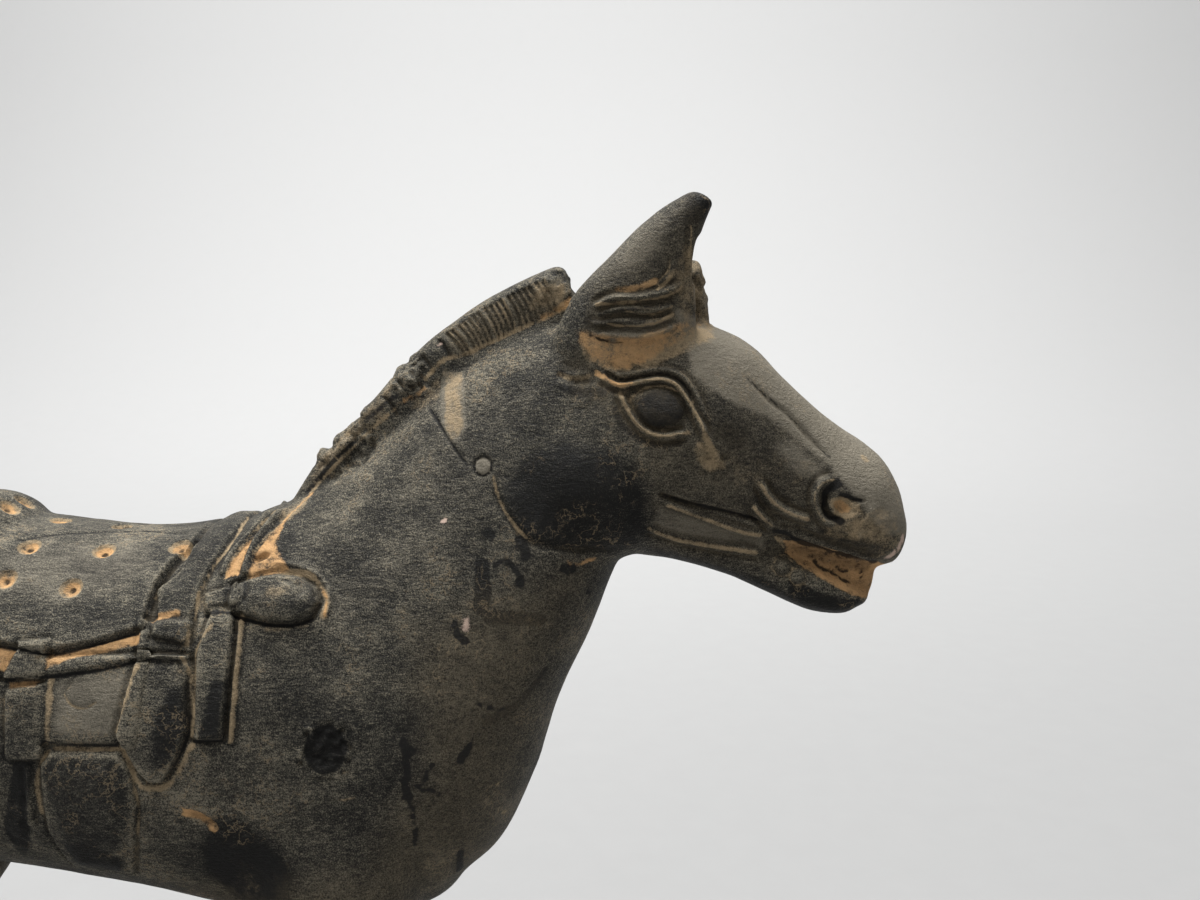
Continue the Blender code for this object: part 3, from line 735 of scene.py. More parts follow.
class Skin:
    """The horse's surface, folded so that its left lies on its right.

    The constants bound the body, in x and z. What is laid out by turns stays on it.
    """

    BODY_BACK = -60.0
    BODY_FRONT = 50.0
    BODY_FLOOR = 88.0

    def __init__(self, piece: bpy.types.Object) -> None:
        """Reads the surface of a piece.

        Args:
            piece: The horse, in shares.
        """
        self.piece = piece
        self.read()

    def read(self) -> None:
        """Reads the piece's points afresh."""
        self.points = vectors_of(self.piece, "co")
        self.normals = vectors_of(self.piece, "normal")
        self.tree = surface_of(self.piece)
        self.near = self.points * (1, 0, 1)
        self.near[:, 1] = -np.abs(self.points[:, 1])
        turn = np.degrees(np.arctan2(-self.near[:, 1], self.near[:, 2] - BODY_AXIS))
        self.flat = np.column_stack([self.near[:, 0], turn * GIRTH])
        along, _, high = self.near.T
        self.body = (along > self.BODY_BACK) & (along < self.BODY_FRONT) & (high > self.BODY_FLOOR)

    def on_side(self, x: float, z: float) -> Vector | None:
        """The point of the clay seen at (x, z) from the horse's right."""
        return self.tree.ray_cast(Vector((x, -OUTSIDE, z)), Vector((0, 1, 0)))[0]

    def on_front(self, y: float, z: float) -> Vector | None:
        """The point of the clay seen at (y, z) from in front of the horse."""
        return self.tree.ray_cast(Vector((AHEAD, y, z)), Vector((-1, 0, 0)))[0]

    def on_body(self, x: float, turn: float) -> Vector | None:
        """The point of the body at x, turned down from the spine on the right."""
        angle = math.radians(turn)
        out = Vector((0, -math.sin(angle), math.cos(angle)))
        return self.tree.ray_cast(Vector((x, 0, BODY_AXIS)) + out * OUTSIDE, -out)[0]

    def _path(self, corners: Line, meet: Callable[[float, float], Vector | None]) -> np.ndarray:
        """A smooth line over the clay through corners, met one by one.

        Args:
            corners: The corners, as the two values that meet takes.
            meet: Finds the point of the clay at a corner.

        Returns:
            The points that were met.
        """
        found = [meet(first, second) for first, second in spline(corners, PATH_STEPS)]
        return np.array([point for point in found if point is not None])

    def side_path(self, corners: Line) -> np.ndarray:
        """A smooth line over the clay through corners (x, z) seen from the right."""
        return self._path(corners, self.on_side)

    def body_path(self, corners: Line) -> np.ndarray:
        """A smooth line over the body through corners (x, turn)."""
        return self._path(corners, self.on_body)

    def front_path(self, corners: Line) -> np.ndarray:
        """A smooth line over the clay through corners (y, z) seen from in front."""
        return self._path(corners, self.on_front)

    def around(self, low: np.ndarray, high: np.ndarray) -> np.ndarray:
        """The numbers of the points in a box."""
        return np.flatnonzero(((self.near > low) & (self.near < high)).all(1))


class Carver(Skin):
    """Heights that press the clay out, or in where negative.

    The constants say how far past its width a cut is worked out, where the gutters of
    cuts and pads lie and how wide they are, the margin round a pad, how much finer the
    second swell of rough clay is, and where the head begins, in x and z.
    """

    REACH = 1.6
    GUTTER_SET = 0.3
    GUTTER_WIDTH = 0.8
    PAD_GUTTER_SET = 0.4
    PAD_GUTTER_WIDTH = 0.9
    MARGIN = 2.0
    FINER = 2.3
    HEAD_BACK = 74.0
    HEAD_FLOOR = 150.0

    def read(self) -> None:
        """Reads the piece's points afresh, with nothing pressed yet."""
        super().read()
        self.height = np.zeros(len(self.points))

    def trace(self, cut: Cut, path: np.ndarray) -> None:
        """Raises a ridge along a path, or cuts a groove.

        Args:
            cut: Its width, height and ends.
            path: Points on the clay.
        """
        if len(path) < 2:
            return
        reach = cut.width + self.REACH
        chosen = self.around(path.min(0) - reach, path.max(0) + reach)
        distance, along = along_path(self.near[chosen], path)
        hump = bell(distance, cut.width) * cut.height
        if cut.gutter:
            beside = np.abs(distance - cut.width - self.GUTTER_SET)
            hump -= bell(beside, self.GUTTER_WIDTH) * cut.gutter
        if cut.taper:
            hump *= ramp(np.minimum(along, 1 - along), 0, cut.taper)
        self.height[chosen] += hump

    def on_barrel(self, *cuts: Cut) -> None:
        """Makes cuts given as (x, turn) on the body."""
        for cut in cuts:
            self.trace(cut, self.body_path(cut.line))

    def on_profile(self, *cuts: Cut) -> None:
        """Makes cuts given as (x, z) seen from the side."""
        for cut in cuts:
            self.trace(cut, self.side_path(cut.line))

    def pad(self, outline: Line, height: float, edge: float = 0.5, crown: float = 0.0,
            crown_width: float = 4.0, gutter: float = 0.35) -> None:
        """Raises a patch of the body.

        Args:
            outline: Its corners as (x, turn).
            height: How proud its edge stands.
            edge: How wide the step at its edge is.
            crown: How much more its middle rises.
            crown_width: The distance from the edge at which the crown is full.
            gutter: How deep a fine groove runs round it.
        """
        corners = np.array(outline, float) * (1, GIRTH)
        low, high = corners.min(0) - self.MARGIN, corners.max(0) + self.MARGIN
        chosen = np.flatnonzero(self.body & ((self.flat > low) & (self.flat < high)).all(1))
        depth = depth_inside(self.flat[chosen], corners)
        self.height[chosen] += ramp(depth, -edge / 2, edge / 2) * height
        beside = np.abs(depth + edge / 2 + self.PAD_GUTTER_SET)
        self.height[chosen] -= bell(beside, self.PAD_GUTTER_WIDTH) * gutter
        if crown:
            self.height[chosen] += ramp(depth, 0, crown_width) * crown

    def roughen(self, chance: Roughness3D, *places: Rough) -> None:
        """Roughens the clay in places, with values that chance gives."""
        for rough in places:
            distance = np.linalg.norm(self.near - np.array(rough.centre), axis=1)
            chosen = np.flatnonzero(distance < rough.radius)
            points = self.points[chosen]
            swell = chance.read(points, rough.size)
            swell += 0.5 * chance.read(points, rough.size / self.FINER)
            fade = ramp(rough.radius - distance[chosen], 0, rough.radius * 0.5)
            self.height[chosen] += swell * fade * rough.height

    def spot(self, centre: Vector, radius: float, height: float, level: float = 0.0) -> None:
        """Presses a round hump or hollow, level over a share of its radius."""
        distance = np.linalg.norm(self.near - np.array(centre), axis=1)
        shape = bell(np.maximum(distance - radius * level, 0), radius * (1 - level))
        self.height += shape * height

    def dent(self, *dents: Dent) -> None:
        """Presses hollows and humps given as (x, z) seen from the side."""
        for dent in dents:
            self.spot(self.on_side(*dent.place), dent.radius, dent.height, dent.level)

    def dome(self, centre: Pair, radii: Pair, tilt: float, height: float) -> None:
        """Raises an oval dome on the side of the head, steep at its rim."""
        x, z = centre
        c, s = math.cos(math.radians(tilt)), math.sin(math.radians(tilt))
        dx, dz = self.near[:, 0] - x, self.near[:, 2] - z
        across, up = (dx * c + dz * s) / radii[0], (dz * c - dx * s) / radii[1]
        head = (self.near[:, 0] > self.HEAD_BACK) & (self.near[:, 2] > self.HEAD_FLOOR)
        self.height += np.where(head, np.sqrt(np.clip(1 - across**2 - up**2, 0, 1)), 0) * height

    def press(self, settle: int = 0) -> None:
        """Moves the clay, smooths it if asked and reads it afresh."""
        moved = self.points + self.normals * self.height[:, None]
        self.piece.data.vertices.foreach_set("co", moved.ravel())
        self.piece.data.update()
        if settle:
            smooth_out(self.piece, settle)
            apply_modifiers(self.piece)
        self.read()


class Painter(Skin):
    """Marks on the clay, painted shade and highlight among them, each a value from 0 to 1 at every point."""

    def read(self) -> None:
        """Reads the piece's points afresh, with nothing painted yet."""
        super().read()
        self.marks = {mark: np.zeros(len(self.points)) for mark in Mark}

    def _lay(self, mark: Mark, chosen: np.ndarray, share: np.ndarray, flank: Flank) -> None:
        """Lays a mark over chosen points wherever it is stronger than what is there."""
        if flank is not Flank.BOTH:
            share = np.where(self.points[chosen, 1] * flank.value > 0, share, 0)
        self.marks[mark][chosen] = np.maximum(self.marks[mark][chosen], share)

    def line(self, stroke: Stroke, path: np.ndarray) -> None:
        """Draws a stroke along a path.

        Args:
            stroke: What is laid, how wide, how strong and where.
            path: Points on the clay.
        """
        if len(path) < 2:
            return
        width = stroke.width
        chosen = self.around(path.min(0) - width, path.max(0) + width)
        distance, along = along_path(self.near[chosen], path)
        share = bell(distance, width) * stroke.strength
        if stroke.taper:
            share *= ramp(np.minimum(along, 1 - along), 0, stroke.taper)
        self._lay(stroke.mark, chosen, share, stroke.flank)

    def spot(self, mark: Mark, centre: Vector, radius: float, strength: float = 1.0,
             level: float = 0.5, flank: Flank = Flank.BOTH) -> None:
        """Lays a round mark, level over a share of its radius."""
        middle = np.array(centre)
        chosen = self.around(middle - radius, middle + radius)
        distance = np.linalg.norm(self.near[chosen] - middle, axis=1)
        share = bell(np.maximum(distance - radius * level, 0), radius * (1 - level)) * strength
        self._lay(mark, chosen, share, flank)

    def _fill(self, wash: Wash, flat: np.ndarray, within: np.ndarray | bool, scale: Pair) -> None:
        """Fills a wash's outline.

        Args:
            wash: What is laid, how strong and where.
            flat: Every point's place in the plane that the outline lies in.
            within: The points that may be marked.
            scale: What the outline's values are multiplied by to lie in that plane.
        """
        soft = wash.soft
        corners = np.array(wash.outline, float) * scale
        low, high = corners.min(0) - soft, corners.max(0) + soft
        chosen = np.flatnonzero(within & ((flat > low) & (flat < high)).all(1))
        depth = depth_inside(flat[chosen], corners)
        self._lay(wash.mark, chosen, ramp(depth, -soft / 2, soft / 2) * wash.strength, wash.flank)

    def on_barrel(self, *marks: Stroke | Wash) -> None:
        """Lays marks given as (x, turn) on the body."""
        for mark in marks:
            if isinstance(mark, Wash):
                self._fill(mark, self.flat, self.body, (1, GIRTH))
            else:
                self.line(mark, self.body_path(mark.line))

    def on_profile(self, *marks: Stroke | Wash) -> None:
        """Lays marks given as (x, z) seen from the side."""
        profile = self.near[:, [0, 2]]
        for mark in marks:
            if isinstance(mark, Wash):
                self._fill(mark, profile, True, (1, 1))
            else:
                self.line(mark, self.side_path(mark.line))

    def hollows(self, turns: int, full: float) -> None:
        """Lays the HOLLOW mark where the clay lies below its smoothed self."""
        twin = self.piece.copy()
        twin.data = self.piece.data.copy()
        bpy.context.scene.collection.objects.link(twin)
        smooth_out(twin, turns)
        apply_modifiers(twin)
        depth = ((vectors_of(twin, "co") - self.points) * self.normals).sum(1)
        bpy.data.objects.remove(twin)
        self.marks[Mark.HOLLOW] = 0.5 + 0.5 * np.clip(depth / full, -1, 1)


# The carving and what lies in it


def ring(centre: Pair, radii: Pair, first: float = 0.0, last: float = 360.0) -> Line:
    """Corners round an oval, from the first angle to the last."""
    span = last - first
    turns = [math.radians(first + span * step / RING_STEPS) for step in range(RING_STEPS + 1)]
    return tuple((centre[0] + radii[0] * math.cos(turn), centre[1] + radii[1] * math.sin(turn))
                 for turn in turns)


@dataclass(frozen=True)
class Saddle:
    """The saddle's layers, studs, straps and tassel, laid out as (x, turn)."""

    pad: Line = ((-46, 0), (-45, 30), (-42, 50), (-21, 53), (-11.5, 55), (-2.5, 52), (7, 47),
                 (7.2, 38), (7.8, 31), (9.5, 23), (12.4, 14), (12.4, 0))
    cloth: Line = ((-46, 0), (-45, 30), (-43, 50), (-43, 62), (-20.5, 64), (-11.5, 63), (-3.5, 61),
                   (8, 57), (8, 47), (7.2, 38), (7.8, 31), (9.5, 23), (12.4, 14), (12.4, 0))
    flap: Line = ((-12.2, 58), (-12.2, 86), (7, 86), (9, 56))
    band: Line = ((12.4, 0), (12.8, 15), (11.8, 28), (8.4, 34), (9.5, 44), (9.5, 50),
                  (16.6, 52), (16.8, 42), (17.4, 33), (19.4, 22), (21, 12), (21, 0))
    block: Line = ((6.6, 45), (16.8, 45), (17.2, 57), (6.8, 57))
    tongue: Line = ((7.2, 56), (16.8, 56), (17.4, 82), (14.4, 94), (12.2, 100), (9.8, 100),
                    (7.6, 96), (3.6, 83))
    hanger: Line = ((20.6, 42), (25.6, 41), (25.4, 60), (24.2, 85), (18.8, 85), (18.9, 55))
    rear_buckle: Line = ((-17.4, 53.5), (-11.4, 52.5), (-12, 64), (-20, 64))
    rear_strap: Line = ((-19.4, 68), (-12, 66), (-12, 92), (-19.4, 92))
    girth: Line = ((-12.4, 94), (-10.2, 89.5), (3.4, 89.5), (5.6, 95), (6.4, 110), (4.5, 124),
                   (2, 138), (-11, 138), (-13, 120))
    knot: Line = ((18.6, 36), (24.8, 33.5), (26, 41), (19.4, 42))
    studs: Line = ((-38, 20), (-22.8, 20), (-7, 19), (9.6, 17.5), (-39, 35), (-24, 33),
                   (-9.8, 35), (-23, 0), (-9, 0), (-33.6, 4))
    stud_radius: float = 2.7
    fold: Cut = Cut(((-28.6, 20), (-16.2, 11), (-2, 5), (10.9, 11)), 0.8, -0.3, 0.1)
    notch: Cut = Cut(((28.3, 25.6), (29.9, 24.6)), 1.3, -1.3)
    tongue_edge: Cut = Cut(((16.2, 57), (17.4, 61), (17.9, 68), (18.2, 76), (18.1, 84)), 0.7, 0.5, 0, 0.4)
    cuts: tuple[Cut, ...] = (
        Cut(((27.5, 4), (25.5, 14), (22.9, 21), (21.9, 25), (21.2, 31)), 1.2, 1.0, 0.1, 0.35),
        Cut(((30.5, 6), (28.3, 14), (26.9, 19.5), (26.2, 27), (26.4, 31)), 1.2, 1.0, 0.1, 0.35),
        Cut(((31.4, 8), (30.6, 16), (29.6, 24)), 2.2, -0.6, 0.2),
        tongue_edge,
        Cut(((26.7, 43), (27, 53), (26.5, 64), (26, 86)), 0.8, 0.5, 0, 0.3),
        Cut(((-15, 94), (-15.6, 106), (-17, 119)), 1.2, 0.8, 0.1, 0.3),
        notch,
        Cut(((-5.6, 65), (-7.2, 69), (-5.7, 73), (-3, 74), (-0.8, 72)), 0.7, -0.3),
    )
    pouch_rim: Cut = Cut(((31, 27), (38, 27.4), (42.8, 30.6), (44.4, 36), (43.6, 42)), 0.8, 0.6, 0.1)
    pouch_creases: tuple[Cut, ...] = (
        Cut(((32, 34.4), (36, 33.4), (39, 36), (37, 39.6)), 1.2, -0.45, 0.3),
        Cut(((27, 33), (28.2, 37), (27.4, 41)), 0.9, -0.7, 0.2),
        Cut(((24, 35.4), (26, 37.4), (24.6, 40.6)), 0.8, -0.5, 0.2),
    )
    behind_girth: Rough = Rough((-25, -33, 120), 14, 2.2, 0.5)
    pouch: Line = ((24.6, 34), (28, 32.4), (33, 30.8), (37.5, 31), (41, 33.4), (42, 37),
                   (40.6, 41), (36.9, 43.4), (31.8, 43.6), (27.2, 42), (24.4, 40.2))
    marks: Marks = (
        *strokes(
            Mark.TAN,
            (((21.1, 3), (21.3, 16), (18.9, 26), (17.4, 34), (17.1, 42), (16.6, 53)), 0.9),
            (((28.5, 6), (27.2, 11), (24.6, 19), (22.7, 25), (22.2, 31)), 0.9),
            (((31.3, 11), (30.3, 14.5), (28.4, 19), (27.2, 25), (26.9, 32)), 0.8, 0.9),
            (tongue_edge.line, 1.0, 0.95),
            (((22.6, 43.5), (20.9, 48), (18.5, 53), (18.5, 61), (18.7, 72), (19.2, 82)), 0.9),
            (((26.8, 43), (27.1, 53), (26.7, 64), (26.4, 76), (25.8, 86)), 1.6, 1.1),
            (((33, 28.6), (39.1, 29.2), (42.3, 32.4), (43.8, 36), (43.4, 41)), 1.5, 1.1),
            (((30, 46.5), (36.6, 46.2), (42, 43.4)), 1.5, 0.6, 0.2),
            (((7.6, 60), (6.4, 65), (5.4, 72), (3.6, 82)), 1.3, 1.15),
            (((-10.2, 65), (-10.4, 73), (-10.6, 84)), 1.6),
            (((-9.6, 88.3), (-2, 88.8), (3.4, 88.4), (4.8, 90)), 1.1, 0.95),
            (((18.3, 87), (16, 95), (13.6, 101), (10.6, 102.6), (7.4, 101), (5.4, 93), (4.2, 87)), 1.25,
             1.15),
            (((-10.8, 89), (-13, 95), (-14, 103), (-13.8, 116)), 1.0, 0.9, 0.1),
            (((5.8, 97), (6.8, 110), (5.4, 122)), 0.9, 0.75, 0.1),
            (((-22, 69), (-22.5, 80), (-22, 91)), 2.6, 0.7, 0.1),
            (((-6.2, 66.6), (-7.2, 69.4), (-5.7, 73), (-3, 74), (-0.8, 72)), 0.6, 0.9),
            (((-5.6, 66), (-4.7, 66.6)), 0.9, 0.8),
            (((7.2, 46), (7.4, 38), (8.2, 32)), 0.7, 0.8),
        ),
        Stroke(Mark.DUST, ((42.6, 33), (43.9, 36.5), (43.6, 41)), 0.9, 0.85),
        *strokes(
            Mark.PIT_AND_SHADOW,
            # Painted shadow under the edges of the pad, cloth, flap, block, hanger and pouch, down the
            # tongue's side and in the notch.
            (((-42, 51.5), (-21, 54.4), (-11.5, 56.6), (-3, 53.8), (6.6, 48.8)), 0.75, 0.95),
            (((-20, 64.6), (-11.1, 63.8), (-4.8, 62.6), (1.9, 60.6), (8.2, 57.6)), 0.75),
            (((-12, 86), (-6.7, 86.8), (-2.1, 87.2), (3, 86.8)), 0.7),
            (((7.4, 58), (12, 57.6), (16.6, 58)), 0.6, 0.8),
            (((18.6, 86), (21.4, 86), (24, 86)), 0.75),
            (((19.4, 42.6), (24.5, 42.6), (27.2, 43.4), (31.5, 44.8), (37, 44.6), (41.4, 42)), 0.8, 1.05),
            (((17.8, 64), (17.9, 78), (16.8, 87), (14.6, 95), (12.8, 99.8)), 0.7, 0.85, 0.2),
            (notch.line, 0.85),
        ),
        *strokes(
            Mark.SOOT_AND_SHADE,
            # Painted shade in the pouch's creases and along the fold.
            (((26.6, 33.6), (27.8, 37), (27, 41)), 0.9, 0.8),
            (((38, 32.4), (41, 35), (41.4, 38.5), (39.4, 41.6)), 1.4, 0.85),
            (fold.line, 0.6, 0.7, 0.1),
        ),
        *washes(
            Mark.DUST,
            (((-11.4, 56.6), (-3.2, 54), (6.9, 49), (7.4, 52.6), (1.4, 55), (-5.2, 57.4), (-9.4, 60),
              (-11.6, 62.6)), 1.6, 1.1),
            (((-34, 54), (-21, 54), (-18.1, 55.5), (-20, 62.6), (-27, 61), (-34, 59)), 2.0),
            (((-19.4, 65.4), (-13.4, 65), (-13.2, 67.4), (-19.2, 67.8)), 1.2, 0.95),
            (((8, 45.2), (14.6, 44.4), (14.6, 42.2), (9, 42.6)), 1.2, 0.9),
            (((28.4, 9), (27, 16), (25.6, 22), (25, 31), (21.8, 31), (22.8, 25), (25, 18.5)), 1.4),
            (((33, 8), (32.2, 13), (31.8, 18), (32.4, 23), (35.5, 28.4), (31, 30.6), (27, 31.4),
              (27.2, 25), (28.8, 18.5), (31, 12)), 1.8, 1.05),
        ),
        *washes(
            Mark.TAN,
            (((30, 6), (36, 4), (36, 9), (33, 14), (30, 12)), 2.0, 0.7),
            (((31, 34.4), (37, 34), (38.6, 37), (36, 40), (31, 40.4)), 3.4, 0.55),
            (((-31, 94), (-21, 95), (-22.5, 110), (-25, 128), (-32, 126)), 5, 0.5),
        ),
        *washes(
            Mark.SOOT_AND_SHADE,
            (((-6.8, 66), (-7, 70), (-5.4, 72.6), (-3, 73.4), (-1, 71.4), (-1.6, 67.6), (-4, 65.4)), 1.2,
             0.6),
            (((-12.4, 94), (-9.5, 90.5), (3.4, 90.5), (5.6, 96), (6, 110), (2, 126), (-10, 126)), 3, 0.5),
            (((-10, 124), (-4, 123), (1.5, 130), (-1, 137), (-9, 133)), 2.5, 1.1, Flank.RIGHT),
            # This wash and the next are painted shade down the right sides of the tongue and the hanger.
            (((13.6, 66), (17.2, 66), (17.4, 83), (13.6, 94), (10.6, 95), (11, 82)), 4, 0.85),
            (((22.4, 64), (25.2, 64), (24.2, 84.6), (20, 84.6), (21, 76)), 2.4, 0.95),
            (((-18.4, 93), (-14.2, 93), (-14.6, 102), (-16.5, 112), (-18.5, 126), (-22, 136), (-23, 122),
              (-20, 106)), 3, 1.1),
            (((13.4, 4), (20, 4), (18.6, 22), (16, 40), (10, 42), (10.4, 34), (13, 26)), 3, 0.42),
            (((7, 46), (16.6, 46), (16.8, 56.4), (7, 56.4)), 2, 0.45),
        ),
        *washes(
            Mark.WORN_AND_HIGHLIGHT,
            (((-9.4, 65), (6, 61), (3, 83), (-9.4, 83)), 3, 0.62),
            # Lighter over the top of the seat: painted highlight.
            (((-30, 22), (-12, 14), (4, 12), (6, 30), (-6, 42), (-30, 42)), 12, 0.4),
        ),
    )

    def carve(self, clay: Carver, chance: Roughness3D) -> None:
        """Presses the saddle into the clay, layer by layer."""
        clay.pad(self.cloth, 0.6, gutter=0.3)
        clay.pad(self.flap, 0.6, gutter=0.5)
        clay.pad(self.pad, 0.9, gutter=0.6)
        clay.on_barrel(self.fold)
        for stud in self.studs:
            centre = clay.on_body(*stud)
            clay.spot(centre, self.stud_radius, -1.0, 0.5)
            clay.spot(centre, self.stud_radius * 0.5, -0.5, 0.3)
        clay.roughen(chance, self.behind_girth)
        clay.press()
        clay.pad(self.rear_buckle, 0.8)
        clay.pad(self.rear_strap, 1.0)
        clay.pad(self.tongue, 1.3, crown=0.3, gutter=0.5)
        clay.pad(self.block, 0.8, crown=0.3)
        clay.pad(self.band, 1.0, crown=0.9)
        clay.pad(self.hanger, 1.25, gutter=0.55)
        clay.pad(self.girth, 0.6, crown=0.7, crown_width=5, gutter=0.5)
        clay.pad(self.knot, 1.2)
        clay.on_barrel(*self.cuts)
        clay.press()
        clay.pad(self.pouch, 1.6, 0.9, crown=0.9, crown_width=3.5, gutter=0.7)
        clay.on_barrel(self.pouch_rim)
        clay.press()
        clay.on_barrel(*self.pouch_creases)
        clay.press()

    def paint(self, paint: Painter) -> None:
        """Lays earth in the studs and along the edges of the layers, painted shadow under the edges and in
        the studs, and painted highlight on the seat.
        """
        paint.on_barrel(*self.marks)
        for stud in self.studs:
            centre = paint.on_body(*stud)
            paint.spot(Mark.TAN, centre, self.stud_radius * 1.25, 1.0, 0.7)
            paint.spot(Mark.DUST, centre, self.stud_radius, 0.95, 0.5)
            # The black middle of each stud is painted shade in its hollow.
            paint.spot(Mark.PIT_AND_SHADOW, centre, self.stud_radius * 0.5, 0.8, 0.2)


